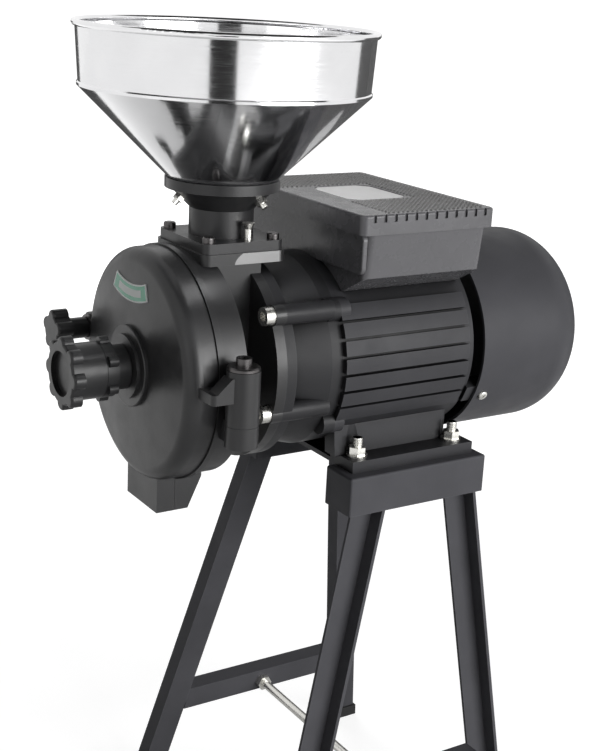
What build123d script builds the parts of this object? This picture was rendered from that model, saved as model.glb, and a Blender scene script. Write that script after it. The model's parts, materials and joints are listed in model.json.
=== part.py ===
"""Wet and dry grinder: a disc mill head on a fan-cooled motor, with a steel hopper and a stand.

Millimetres, +Z up. X runs along the motor shaft, with the grinding head at -X and the cowl at +X.
The origin is on the floor under the middle of the machine.
"""
import os
from math import cos, hypot, radians, sin, sqrt, tan

from build123d import *

# Clearances
GAP = 0.3
RUN_FIT = 0.05
HOLE_PLAY = 0.3
SEAT_PLAY = 0.02

# Heights of the machine
STAND_HEIGHT = 370.0
SHAFT_HEIGHT = 90.0
AXIS_Z = STAND_HEIGHT + SHAFT_HEIGHT

# Lengths along the shaft, from the face where the head bolts to the motor
MOTOR_FACE_X = -86.0
BELL_LENGTH = 55.0
FRAME_LENGTH = 126.0
COWL_GAP = 16.0
COWL_LENGTH = 129.0
FEED_LENGTH = 40.0
CHAMBER_DEPTH = 26.0
COVER_DEPTH = 25.0
COVER_CROWN = 4.0
HOPPER_AHEAD = 16.0
FRAME_X = MOTOR_FACE_X + BELL_LENGTH
FRAME_END_X = FRAME_X + FRAME_LENGTH
COWL_X = FRAME_END_X + COWL_GAP
COWL_END_X = COWL_X + COWL_LENGTH
CHAMBER_BACK_X = MOTOR_FACE_X - FEED_LENGTH
PARTING_X = CHAMBER_BACK_X - CHAMBER_DEPTH
COVER_BACK_X = PARTING_X - GAP
COVER_FACE_X = PARTING_X - COVER_DEPTH
CROWN_X = COVER_FACE_X - COVER_CROWN
HOPPER_X = MOTOR_FACE_X - HOPPER_AHEAD

# Stand: two rails, four angle-iron legs, two braces and a tie rod
STAND_X = 46.0
RAIL_LENGTH = 142.0
RAIL_WIDTH = 38.0
RAIL_HEIGHT = 33.5
RAIL_WALL = 3.0
RAIL_Y = 75.5
RAIL_ROUND = 2.0
RAIL_BOTTOM = STAND_HEIGHT - RAIL_HEIGHT
LEG_LONG_FLANGE = 24.0
LEG_SHORT_FLANGE = 17.0
ANGLE_WALL = 3.0
LEG_Y = 73.5
LEG_NEAR_REACH = 31.0
LEG_WIDE_REACH = 66.0
FRONT_SPLAY = 0.268
REAR_SPLAY = 0.124
SIDE_SPLAY = 0.11
LEG_COPE = 14.0
SHOE_HEIGHT = 12.0
SHOE_PAD = 3.0
SHOE_WALL = 2.0
BRACE_TOP = 87.5
BRACE_SIZE = 20.0
TIE_X = 20.0
TIE_RADIUS = 4.0
TIE_DROP = 12.0
TIE_OVERHANG = 14.0

# Fasteners
BOLT_RADIUS = 4.0
HEX_FLATS = 13.0
NUT_HEIGHT = 6.5
HEAD_HEIGHT = 5.5
HEAD_ROOM = 8.0
WASHER_RADIUS = 9.0
WASHER_HEIGHT = 1.6
BOLT_OVERHANG = 8.0
CAP_HEAD_RADIUS = 7.4
CAP_HEAD_HEIGHT = 8.0
CAP_SOCKET_FLATS = 7.0
CAP_SOCKET_DEPTH = 4.0
CAP_BOLT_REACH = 26.0
SCREW_RADIUS = 2.5
SCREW_HEAD_RADIUS = 4.5
SCREW_HEAD_HEIGHT = 3.0
SCREW_REACH = 8.0

# Motor
FRAME_RADIUS = 82.0
FRAME_BORE = 66.3
FIN_RADIUS = 87.0
FIN_TOP_ANGLE = 37.0
FIN_BOTTOM_ANGLE = -31.0
FIN_COUNT = 7
FIN_GROOVE = 2.6
FIN_DEPTH = 5.5
LUG_Y = 72.0
LUG_TOP = 50.0
LUG_BOTTOM = -30.0
LUG_RADIUS = 8.5
FRAME_LUG_Y = 65.0
FRAME_LUG_Z = 47.0
FRAME_LUG_RADIUS = 10.0
FRAME_LUG_LENGTH = 9.0
FLANGE_RADIUS = 85.0
FLANGE_THICKNESS = 9.0
BELL_WAIST = 72.0
BELL_WALL = 8.0
BELL_RIM = 11.0
SPIGOT_LENGTH = 4.0
SPIGOT_WALL = 6.0
BEARING_HOUSING_WALL = 8.0
FRONT_BEARING_BORE = 12.5
FRONT_BEARING_RADIUS = 26.0
FRONT_BEARING_WIDTH = 15.0
FRONT_BEARING_SETBACK = 16.0
REAR_BEARING_BORE = 10.0
REAR_BEARING_RADIUS = 23.5
REAR_BEARING_WIDTH = 14.0
REAR_SHIELD = 8.0
BEARING_LIP = 3.0
CORE_LENGTH = 70.0
CORE_RADIUS = 66.0
CORE_BORE = 41.0
AIR_GAP = 0.5
WINDING_LENGTH = 15.0
WINDING_RADIUS = 57.0
WINDING_SETBACK = 3.0
SHAFT_RADIUS = 17.0
SHAFT_BORE_PLAY = 2.0
COWL_RADIUS = 88.0
COWL_WALL = 2.5
COWL_ROUND = 45.0
COWL_SLOTS = 16
COWL_SLOT_WIDTH = 4.0
COWL_SLOT_INNER = 12.0
COWL_PAD_ANGLE = 27.0
COWL_PAD_WIDTH = 16.0
COWL_PAD_DEPTH = 13.0
COWL_SCREW_SETBACK = 9.0
FAN_RADIUS = 70.0
FAN_SETBACK = 30.0
FAN_LENGTH = 34.0
FAN_HUB_RADIUS = 17.0
FAN_BLADES = 8
FAN_WALL = 2.5

# Motor foot
FOOT_HALF_WIDTH = 84.0
FOOT_PAD_INNER = 50.0
FOOT_THICKNESS = 10.0
FOOT_BRIDGE = 4.0
FOOT_HOLE_X = 50.0
FOOT_HOLE_Y = 70.0
FOOT_END = 13.0
FOOT_LENGTH = 2 * (FOOT_HOLE_X + FOOT_END)
FOOT_WEB_THICKNESS = 15.0
FOOT_WEB_LEAN = 3.0
FOOT_WEB_ANGLE = 42.5

# Terminal box on the motor
BOX_X = -20.0
BOX_LENGTH = 118.0
BOX_TOP = 113.0
BOX_TOP_HALF = 91.5
BOX_WAIST_HALF = 87.0
BOX_WAIST = 76.0
BOX_FOOT_HALF = 58.0
BOX_FOOT = 60.0
BOX_WALL = 3.0
BOX_ROUND = 6.0
LID_OVERHANG = 5.5
LID_FRONT_OVERHANG = 11.0
LID_REAR_OVERHANG = 3.0
LID_SEAT = 4.0
LID_HEIGHT = 16.0
LID_WALL = 3.5
LID_ROUND = 2.0
LID_NOTCHES = 12
LID_NOTCH_WIDTH = 3.0
LID_NOTCH_DEPTH = 2.0
LID_NOTCH_HEIGHT = 6.0
PLATE_X = 31.0
PLATE_LENGTH = 58.0
PLATE_WIDTH = 68.0
PLATE_THICKNESS = 1.0
PLATE_CORNER = 9.0
PLATE_RECESS = 1.6
CAPACITOR_RADIUS = 15.0
CAPACITOR_LENGTH = 70.0
CAPACITOR_Y = 57.0
TERMINAL_LENGTH = 50.0
TERMINAL_WIDTH = 24.0
TERMINAL_HEIGHT = 14.0
TERMINAL_POCKET_HALF = 5.0
TERMINAL_WALL = 3.0
GLAND_RADIUS = 9.0
GLAND_BORE = 5.0
GLAND_FLATS = 24.0
GLAND_HEX = 5.0
GLAND_LENGTH = 15.0
GLAND_Z = 95.0

# Grinding chamber and feed box
CHAMBER_RADIUS = 93.0
CHAMBER_BORE = 84.0
CHAMBER_FLOOR = 7.0
LIP_RADIUS = 95.5
LIP_LENGTH = 5.0
TROUGH_RADIUS = 38.0
TROUGH_BORE = 30.0
SEAL_WALL = 13.0
SEAL_RADIUS = 20.0
SEAL_SEAT_RADIUS = 12.0
SEAL_WIDTH = 8.0
CHUTE_HALF_WIDTH = 38.0
CHUTE_WALL = 4.0
CHUTE_BORE = 22.0
CHUTE_KNEE = 55.0
TABLE_TOP = 94.0
TABLE_THICKNESS = 9.0
TABLE_HALF_WIDTH = 42.0
TABLE_HALF_LENGTH = 38.0
TABLE_ROUND = 8.0
SPOUT_HALF_WIDTH = 27.0
SPOUT_WALL = 5.0
SPOUT_BOTTOM = -119.0
SPOUT_DEPTH = 16.0
SPOUT_HEEL = 12.0
SPOUT_KNEE = -93.0

# Cover hinge and clamp
HINGE_BEHIND = 12.0
HINGE_Y = -109.0
HINGE_RADIUS = 13.0
HINGE_TOP = 22.0
HINGE_SPLIT = -21.0
HINGE_BOTTOM = -38.0
HINGE_PIN_RADIUS = 5.0
HINGE_COLLAR_RADIUS = 12.5
HINGE_COLLAR_HEIGHT = 3.0
HINGE_HEAD_RADIUS = 6.0
HINGE_HEAD_HEIGHT = 6.0
ARM_BOTTOM = -1.5
ARM_TOP = 6.5
ARM_SETBACK = 4.0
GUSSET_LENGTH = 12.0
GUSSET_HEIGHT = 11.0
CLAMP_Y = 106.0
CLAMP_Z = 4.0
EAR_HALF = 13.0
EAR_LENGTH = 16.0
CLAMP_SCREW_RADIUS = 5.0
CLAMP_ENTRY = 8.0
CLAMP_HOLE = 7.0
CLAMP_TRAVEL = 8.5
CLAMP_KNOB_RADIUS = 18.0
CLAMP_KNOB_LENGTH = 14.0
CLAMP_HUB_RADIUS = 9.0
CLAMP_HUB_LENGTH = 18.0
CLAMP_KNOB_LOBES = 5
CLAMP_WASHER_RADIUS = 11.0
CLAMP_WASHER_LENGTH = 3.0

# Front cover and disc adjuster
COVER_RADIUS = 94.0
COVER_BORE = 85.0
COVER_SHOULDER = 12.0
COVER_WALL = 5.5
BOSS_RADIUS = 33.0
BOSS_LENGTH = 3.0
COLLAR_RADIUS = 26.0
COLLAR_LENGTH = 3.0
ADJUSTER_RADIUS = 15.0
GASKET_INNER = 86.5
GASKET_OUTER = 90.5
GASKET_DEPTH = 3.0
LOCK_RING_RADIUS = 22.5
LOCK_RING_LENGTH = 9.5
LOCK_SLEEVE_RADIUS = 18.0
LOCK_SLEEVE_LENGTH = 12.5
LOCK_LUG_RADIUS = 4.5
LOCK_LUG_REACH = 22.0
LOCK_LUGS = 6
KNOB_HUB_RADIUS = 22.5
KNOB_HUB_LENGTH = 21.0
KNOB_RADIUS = 29.7
KNOB_LENGTH = 9.4
KNOB_LOBES = 8
KNOB_LOBE_RADIUS = 6.5
KNOB_RECESS_RADIUS = 18.0
KNOB_RECESS_DEPTH = 4.0
BADGE_INNER = 76.0
BADGE_OUTER = 90.0
BADGE_Y = 5.0
BADGE_Z = 142.0
BADGE_HALF_ANGLE = 20.0
BADGE_THICKNESS = 0.8

# Grinding discs, driver and auger
DISC_RADIUS = 78.0
DISC_BORE = 36.0
DISC_THICKNESS = 9.0
RIDGE_HEIGHT = 1.2
RIDGE_WIDTH = 3.0
RIDGES = 20
DISC_GAP = 0.6
DISC_BEHIND = 2.0
DRIVER_RADIUS = 74.0
DRIVER_THICKNESS = 5.0
DRIVER_HUB = 17.0
DRIVER_WINDOW = 6.0
DRIVER_WINDOW_AT = 25.0
DRIVER_WINDOWS = 6
DISC_SEAT_RADIUS = 10.0
DISC_NUT_FLATS = 24.0
DISC_NUT_HEIGHT = 9.0
CARRIER_RADIUS = 70.0
CARRIER_THICKNESS = 6.0
CARRIER_PIVOT = 8.0
GUIDE_RADIUS = 5.0
GUIDE_AT = 52.0
GUIDE_ENTRY = 2.6
GUIDES = 3
DISC_SCREW_AT = 44.0
DISC_SCREWS = 3
DISC_SCREW_REACH = 4.0
DISC_SCREW_HEAD = 1.4
AUGER_SEAT_RADIUS = 11.0
AUGER_HUB = 15.0
AUGER_RADIUS = 28.0
AUGER_PITCH = 20.0
AUGER_FLIGHT = 4.0
AUGER_TURNS = 1.2

# Feed neck and hopper
NECK_FLANGE_HALF_X = 36.0
NECK_FLANGE_HALF_Y = 40.0
NECK_FLANGE = 8.0
NECK_FLANGE_ROUND = 6.0
NECK_RADIUS = 26.0
NECK_BORE = 22.0
NECK_BOLT_X = 29.0
NECK_BOLT_Y = 33.0
NECK_BOLT_RADIUS = 3.0
NECK_BOLT_HEAD = 5.0
NECK_BOLT_HEAD_HEIGHT = 5.0
SET_SCREW_X = 6.0
SET_SCREW_HEIGHT = 14.0
SEAT_RADIUS = 46.0
SEAT_TOP = 147.0
SEAT_LIP = 8.0
SEAT_WALL = 4.0
HOPPER_RADIUS = 116.5
HOPPER_BAND_RADIUS = 114.0
HOPPER_TOP = 265.0
HOPPER_BAND = 50.0
HOPPER_SHEET = 1.5
HOPPER_ROLL = 2.6
HOPPER_MOUTH_RADIUS = 24.5
HOPPER_MOUTH = 128.0
HOPPER_SCREW_ANGLES = (56.0, 176.0, 296.0)
HOPPER_SCREW_RADIUS = 2.5
HOPPER_SCREW_AT = 136.2
HOPPER_SCREW_REACH = 12.0
HOPPER_SCREW_HEAD = 2.0
HOPPER_NUT_FLATS = 8.0
HOPPER_NUT_HEIGHT = 4.0
HOPPER_BEAD = 1.0


def block(x0, x1, y0, y1, z0, z1):
    """Box between two corners; heights are above the floor."""
    size = Box(x1 - x0, y1 - y0, z1 - z0)
    return Pos((x0 + x1) / 2, (y0 + y1) / 2, (z0 + z1) / 2) * size


def bar_x(radius, x0, x1, y=0.0, z=0.0):
    """Round bar along the shaft; y and z are measured from the shaft axis."""
    return Pos((x0 + x1) / 2, y, AXIS_Z + z) * Rot(0, 90, 0) * Cylinder(radius, x1 - x0)


def bar_y(radius, y0, y1, x, z):
    """Round bar across the machine at height z above the floor."""
    return Pos(x, (y0 + y1) / 2, z) * Rot(90, 0, 0) * Cylinder(radius, y1 - y0)


def bar_z(radius, z0, z1, x, y):
    """Upright round bar between two heights above the floor."""
    return Pos(x, y, (z0 + z1) / 2) * Cylinder(radius, z1 - z0)


def ring_x(outer, inner, x0, x1):
    """Ring round the shaft axis."""
    return bar_x(outer, x0, x1) - bar_x(inner, x0 - 1, x1 + 1)


def hexagon(flats, height):
    """Hexagonal prism standing on the XY plane."""
    return extrude(RegularPolygon(flats / 2, 6, major_radius=False), height)


def turned_x(points):
    """Solid of revolution about the shaft from (x, radius) points."""
    profile = Plane.XZ * Pos(0, AXIS_Z, 0) * Polygon(*points, align=None)
    return revolve(profile, Axis((0, 0, AXIS_Z), (1, 0, 0)))


def turned_z(points):
    """Solid of revolution about the hopper axis from (radius, height above the shaft) points."""
    profile = Plane.XZ * Pos(HOPPER_X, AXIS_Z, 0) * Polygon(*points, align=None)
    return revolve(profile, Axis((HOPPER_X, 0, 0), (0, 0, 1)))


def around_shaft(shape, angle):
    """Turn a shape about the shaft axis."""
    return Pos(0, 0, AXIS_Z) * Rot(angle, 0, 0) * Pos(0, 0, -AXIS_Z) * shape


def side_profile(points, half_width):
    """Outline of (x, height above the shaft) points, extruded to both sides of the shaft."""
    profile = Plane.XZ * Pos(0, AXIS_Z, 0) * Polygon(*points, align=None)
    return extrude(profile, half_width, both=True)


def cross_profile(points, x0, x1):
    """Outline of (y, height above the shaft) points, extruded along the shaft."""
    profile = Plane.YZ.offset(x0) * Pos(0, AXIS_Z, 0) * Polygon(*points, align=None)
    return extrude(profile, x1 - x0, dir=(1, 0, 0))


def both_sides(shape):
    """A shape and its mirror image across the shaft."""
    return shape + mirror(shape, Plane.XZ)


def upright_edges(shape):
    """Edges that stand upright."""
    return shape.edges().filter_by(Axis.Z)


# Stand

def leg_place(end, side):
    """Outer corner of a leg at the rail's lower edge and its lean; end is -1 at the head."""
    reach = LEG_NEAR_REACH if end * side > 0 else LEG_WIDE_REACH
    splay = FRONT_SPLAY if end < 0 else REAR_SPLAY
    return STAND_X + end * reach, side * LEG_Y, end * splay, side * SIDE_SPLAY


def leg_corner(end, side, z):
    """Outer corner of a leg at a height."""
    x, y, lean_x, lean_y = leg_place(end, side)
    drop = RAIL_BOTTOM - z
    return x + lean_x * drop, y + lean_y * drop


def leg_prism(end, side, outline, z0, z1):
    """Leaning prism of a leg outline between two heights."""
    x, y = leg_corner(end, side, z0)
    lean = leg_place(end, side)[2:]
    points = [(x + side * a, y + side * b) for a, b in outline]
    rise = Vector(-lean[0], -lean[1], 1)
    return extrude(Pos(0, 0, z0) * Polygon(*points, align=None), (z1 - z0) * rise.length, dir=rise)


def leg_outline():
    """Angle-iron section with its outer corner at the origin."""
    long, short, wall = LEG_LONG_FLANGE, LEG_SHORT_FLANGE, ANGLE_WALL
    return [(0, 0), (long, 0), (long, wall), (wall, wall), (wall, short), (0, short)]


def leg(end, side):
    """One leg, with its long flange cut back under the rail for the foot bolt."""
    top = STAND_HEIGHT - RAIL_WALL
    cope = top - LEG_COPE
    short_flange = [(0, 0), (ANGLE_WALL, 0), (ANGLE_WALL, LEG_SHORT_FLANGE), (0, LEG_SHORT_FLANGE)]
    iron = leg_prism(end, side, leg_outline(), SHOE_PAD, cope)
    iron += leg_prism(end, side, short_flange, cope, top)
    for x, y in foot_hole_places():
        iron -= bar_z(HEAD_ROOM, cope, top + 1, x, y)
    return iron


def leg_shoe(end, side):
    """Rubber shoe over the foot of a leg."""
    s = SHOE_WALL
    long, short, wall = LEG_LONG_FLANGE, LEG_SHORT_FLANGE, ANGLE_WALL
    outline = [(-s, -s), (long + s, -s), (long + s, wall + s), (wall + s, wall + s)]
    outline += [(wall + s, short + s), (-s, short + s)]
    shoe = leg_prism(end, side, outline, 0, SHOE_HEIGHT)
    return shoe - leg_prism(end, side, leg_outline(), SHOE_PAD, SHOE_HEIGHT + 1)


def foot_hole_places():
    """The four places where the motor foot is bolted to the rails."""
    return [(STAND_X + i * FOOT_HOLE_X, j * FOOT_HOLE_Y) for i in (-1, 1) for j in (-1, 1)]


def rail(side):
    """Folded steel channel, open below, that carries one side of the motor foot."""
    half = RAIL_LENGTH / 2
    y0 = side * RAIL_Y - RAIL_WIDTH / 2
    y1 = side * RAIL_Y + RAIL_WIDTH / 2
    outer = block(STAND_X - half, STAND_X + half, y0, y1, RAIL_BOTTOM, STAND_HEIGHT)
    outer = fillet(upright_edges(outer) + outer.edges().group_by(Axis.Z)[-1], RAIL_ROUND)
    inner = block(STAND_X - half + RAIL_WALL, STAND_X + half - RAIL_WALL, y0 + RAIL_WALL,
                  y1 - RAIL_WALL, RAIL_BOTTOM - 1, STAND_HEIGHT - RAIL_WALL)
    channel = outer - inner
    for x, y in foot_hole_places():
        channel -= bar_z(BOLT_RADIUS + HOLE_PLAY, RAIL_BOTTOM, STAND_HEIGHT + 1, x, y)
    return channel


def brace_plane(side):
    """Inner face of a brace, level with the leg flanges at the brace's mid-height."""
    return abs(leg_corner(-1, side, BRACE_TOP - BRACE_SIZE / 2)[1])


def brace_panel(side, z0, z1, depth):
    """Strip of a brace between the two leaning legs of one side."""
    wide_end = -side

    def ends(z):
        wide = leg_corner(wide_end, side, z)[0] + side * LEG_LONG_FLANGE
        close = leg_corner(-wide_end, side, z)[0]
        return wide, close

    low, high = ends(z0), ends(z1)
    points = [(low[0], z0), (low[1], z0), (high[1], z1), (high[0], z1)]
    y = side * brace_plane(side)
    outline = Plane.XZ.offset(-y) * Polygon(*points, align=None)
    return extrude(outline, depth, dir=(0, side, 0))


def tie_height():
    """Height of the tie rod above the floor."""
    return BRACE_TOP - TIE_DROP


def brace(side):
    """Angle-iron brace welded between the two legs of one side."""
    bottom = BRACE_TOP - BRACE_SIZE
    upright = brace_panel(side, bottom, BRACE_TOP, ANGLE_WALL)
    level = brace_panel(side, BRACE_TOP - ANGLE_WALL, BRACE_TOP, BRACE_SIZE)
    y = side * brace_plane(side)
    hole = bar_y(TIE_RADIUS + HOLE_PLAY, y - BRACE_SIZE, y + BRACE_SIZE, TIE_X, tie_height())
    return upright + level - hole


def tie_rod():
    """Threaded rod that holds the two sides of the stand together."""
    reach = brace_plane(1) + ANGLE_WALL + TIE_OVERHANG
    return bar_y(TIE_RADIUS, -reach, reach, TIE_X, tie_height())


def tie_nuts():
    """Nuts on both sides of each brace."""
    nuts = []
    inner = brace_plane(1) - NUT_HEIGHT
    outer = brace_plane(1) + ANGLE_WALL
    body = hexagon(HEX_FLATS, NUT_HEIGHT)
    body -= Cylinder(TIE_RADIUS + SEAT_PLAY, 4 * NUT_HEIGHT)
    for side in (-1, 1):
        for start in (inner, outer):
            nuts.append(Pos(TIE_X, side * start, tie_height()) * Rot(-90 * side, 0, 0) * body)
    return nuts


def foot_bolts():
    """Hexagon bolts that come up through the rails and the motor foot."""
    plate = STAND_HEIGHT - RAIL_WALL
    reach = STAND_HEIGHT + FOOT_THICKNESS + WASHER_HEIGHT + NUT_HEIGHT + BOLT_OVERHANG
    bolt = Pos(0, 0, plate - HEAD_HEIGHT) * hexagon(HEX_FLATS, HEAD_HEIGHT)
    bolt += bar_z(BOLT_RADIUS, plate - 1, reach, 0, 0)
    return [Pos(x, y, 0) * bolt for x, y in foot_hole_places()]


def foot_washers():
    """Flat washers under the foot nuts."""
    z = STAND_HEIGHT + FOOT_THICKNESS
    washer = bar_z(WASHER_RADIUS, z, z + WASHER_HEIGHT, 0, 0)
    washer -= bar_z(BOLT_RADIUS + HOLE_PLAY, z - 1, z + WASHER_HEIGHT + 1, 0, 0)
    return [Pos(x, y, 0) * washer for x, y in foot_hole_places()]


def foot_nuts():
    """Nuts on top of the motor foot."""
    z = STAND_HEIGHT + FOOT_THICKNESS + WASHER_HEIGHT
    nut = Pos(0, 0, z) * hexagon(HEX_FLATS, NUT_HEIGHT)
    nut -= bar_z(BOLT_RADIUS + SEAT_PLAY, z - 1, z + NUT_HEIGHT + 1, 0, 0)
    return [Pos(x, y, 0) * nut for x, y in foot_hole_places()]


# Motor

def motor_foot():
    """Foot bracket: two bolting pads, a thin bridge and two sloped webs that cradle the frame."""
    half = FOOT_LENGTH / 2
    x0, x1 = STAND_X - half, STAND_X + half
    bottom = STAND_HEIGHT
    foot = block(x0, x1, -FOOT_HALF_WIDTH, FOOT_HALF_WIDTH, bottom, bottom + FOOT_BRIDGE)
    pad = block(x0, x1, FOOT_PAD_INNER, FOOT_HALF_WIDTH, bottom, bottom + FOOT_THICKNESS)
    pad_top = FOOT_THICKNESS - SHAFT_HEIGHT
    web_angle = radians(FOOT_WEB_ANGLE)
    web_y = FRAME_RADIUS * cos(web_angle)
    web_z = -FRAME_RADIUS * sin(web_angle)
    out_y = web_y + FOOT_WEB_LEAN
    x_web = FRAME_X + FRAME_LUG_LENGTH + GAP
    web = cross_profile([(web_y - FOOT_WEB_THICKNESS, web_z), (web_y, web_z), (out_y, pad_top),
                         (out_y, pad_top - 1), (out_y - FOOT_WEB_THICKNESS, pad_top - 1)], x_web, FRAME_END_X)
    foot += both_sides(pad)
    for x, y in foot_hole_places():
        web -= bar_z(WASHER_RADIUS + 1, bottom + FOOT_THICKNESS, AXIS_Z, x, abs(y))
    foot += both_sides(web)
    foot -= bar_x(FRAME_RADIUS + SEAT_PLAY, x_web - 1, x1 + 1)
    for x, y in foot_hole_places():
        foot -= bar_z(BOLT_RADIUS + HOLE_PLAY, bottom - 1, bottom + FOOT_THICKNESS + 1, x, y)
    return foot


def lug_places():
    """Places round the shaft of the four bolts between the head and the motor."""
    return [(side * LUG_Y, z) for side in (-1, 1) for z in (LUG_TOP, LUG_BOTTOM)]


def frame_lug_places():
    """Places round the shaft of the four lugs on the motor's frame."""
    return [(i * FRAME_LUG_Y, j * FRAME_LUG_Z) for i in (-1, 1) for j in (-1, 1)]


def fin_angles():
    """Angles of the grooves between the fins, above the level of the shaft."""
    step = (FIN_TOP_ANGLE - FIN_BOTTOM_ANGLE) / FIN_COUNT
    return [FIN_BOTTOM_ANGLE + step * (i + 1) for i in range(FIN_COUNT - 1)]


def fin_panel():
    """Wide flat fins on the near side of the frame."""
    reach = 2 * FIN_RADIUS
    wedge = [(0, 0), (-reach, reach * tan(radians(FIN_TOP_ANGLE))),
             (-reach, reach * tan(radians(FIN_BOTTOM_ANGLE)))]
    shell = ring_x(FIN_RADIUS, FRAME_RADIUS - 2, FRAME_X, FRAME_END_X)
    panel = shell & cross_profile(wedge, FRAME_X, FRAME_END_X)
    for angle in fin_angles():
        groove = block(FRAME_X - 1, FRAME_END_X + 1, -FIN_RADIUS - 1, -FIN_RADIUS + FIN_DEPTH,
                       AXIS_Z - FIN_GROOVE / 2, AXIS_Z + FIN_GROOVE / 2)
        panel -= around_shaft(groove, -angle)
    return panel


def motor_frame():
    """Cast frame with a finned panel on each side and four bolt lugs at its front."""
    frame = bar_x(FRAME_RADIUS, FRAME_X, FRAME_END_X)
    frame += both_sides(fin_panel())
    for y, z in frame_lug_places():
        frame += bar_x(FRAME_LUG_RADIUS, FRAME_X, FRAME_X + FRAME_LUG_LENGTH, y, z)
    return frame - bar_x(FRAME_BORE, FRAME_X - 1, FRAME_END_X + 1)


def front_bearing_x():
    """Front face of the front bearing."""
    return MOTOR_FACE_X + FRONT_BEARING_SETBACK


def front_end_bell():
    """Front end shield with its bolting flange, bearing housing and long bolt lugs."""
    flange_x = MOTOR_FACE_X + FLANGE_THICKNESS
    rim_x = FRAME_X - BELL_RIM
    bearing_x = front_bearing_x()
    bearing_end = bearing_x + FRONT_BEARING_WIDTH
    housing = FRONT_BEARING_RADIUS + BEARING_HOUSING_WALL
    shaft_hole = FRONT_BEARING_BORE + SHAFT_BORE_PLAY
    bell = ring_x(FLANGE_RADIUS, shaft_hole, MOTOR_FACE_X, flange_x)
    inner_waist = BELL_WAIST - BELL_WALL
    inner_rim = FRAME_RADIUS - BELL_WALL
    bell += turned_x([(flange_x - 1, inner_waist), (flange_x - 1, BELL_WAIST), (rim_x, FRAME_RADIUS),
                      (FRAME_X, FRAME_RADIUS), (FRAME_X, inner_rim), (rim_x, inner_rim)])
    bell += ring_x(housing, FRONT_BEARING_RADIUS + SEAT_PLAY, bearing_x - 1, bearing_end)
    bell += ring_x(housing, shaft_hole, flange_x - 1, bearing_x)
    spigot = FRAME_BORE - HOLE_PLAY
    bell += ring_x(FRAME_RADIUS, spigot - SPIGOT_WALL, FRAME_X - SPIGOT_WALL, FRAME_X)
    bell += ring_x(spigot, spigot - SPIGOT_WALL, FRAME_X - 1, FRAME_X + SPIGOT_LENGTH)
    for y, z in lug_places():
        bell += bar_x(LUG_RADIUS, MOTOR_FACE_X, rim_x + 1, y, z)
    for y, z in frame_lug_places():
        bell += bar_x(FRAME_LUG_RADIUS, rim_x, FRAME_X, y, z)
    hole_end = MOTOR_FACE_X + CAP_BOLT_REACH + 2
    for y, z in lug_places():
        bell -= bar_x(BOLT_RADIUS + HOLE_PLAY, MOTOR_FACE_X - 1, hole_end, y, z)
    return bell


def motor_bolts():
    """Socket-head bolts that hold the head to the motor."""
    face = MOTOR_FACE_X - FLANGE_THICKNESS
    bolt = bar_x(CAP_HEAD_RADIUS, face - CAP_HEAD_HEIGHT, face)
    bolt += bar_x(BOLT_RADIUS, face - 1, MOTOR_FACE_X + CAP_BOLT_REACH)
    socket = Pos(face - CAP_HEAD_HEIGHT - 1, 0, AXIS_Z) * Rot(0, 90, 0)
    bolt -= socket * hexagon(CAP_SOCKET_FLATS, CAP_SOCKET_DEPTH + 1)
    return [Pos(0, y, z) * bolt for y, z in lug_places()]


def rear_bearing_x():
    """Front face of the rear bearing."""
    return FRAME_END_X + BEARING_LIP


def cowl_pads():
    """Pads on the rear shield that the cowl is screwed to."""
    outer = COWL_RADIUS - COWL_WALL - HOLE_PLAY
    x0 = FRAME_END_X + REAR_SHIELD - 1
    x1 = COWL_X + 2 * COWL_SCREW_SETBACK
    half = COWL_PAD_WIDTH / 2
    pad = block(x0, x1, -outer - 1, -outer + COWL_PAD_DEPTH, AXIS_Z - half, AXIS_Z + half)
    pad &= bar_x(outer, x0, x1)
    x_hole = COWL_X + COWL_SCREW_SETBACK
    pad -= bar_y(SCREW_RADIUS + SEAT_PLAY, -outer - 1, -outer + SCREW_REACH, x_hole, AXIS_Z)
    return [around_shaft(pad, angle) for angle in cowl_pad_angles()]


def cowl_pad_angles():
    """Turns about the shaft of the three cowl pads: two low ones and one on top."""
    return [COWL_PAD_ANGLE, 180 - COWL_PAD_ANGLE, 270]


def rear_end_bell():
    """Rear end shield with the rear bearing housing and the cowl pads."""
    bearing_x = rear_bearing_x()
    housing = REAR_BEARING_RADIUS + BEARING_HOUSING_WALL
    shaft_hole = REAR_BEARING_BORE + SHAFT_BORE_PLAY
    spigot = FRAME_BORE - HOLE_PLAY
    bell = ring_x(FRAME_RADIUS, housing - 1, FRAME_END_X, FRAME_END_X + REAR_SHIELD)
    bell += ring_x(housing, REAR_BEARING_RADIUS + SEAT_PLAY, bearing_x, bearing_x + REAR_BEARING_WIDTH)
    bell += ring_x(housing, shaft_hole, FRAME_END_X, bearing_x)
    bell += ring_x(spigot, spigot - SPIGOT_WALL, FRAME_END_X - SPIGOT_LENGTH, FRAME_END_X + 1)
    for pad in cowl_pads():
        bell += pad
    return bell


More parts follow.
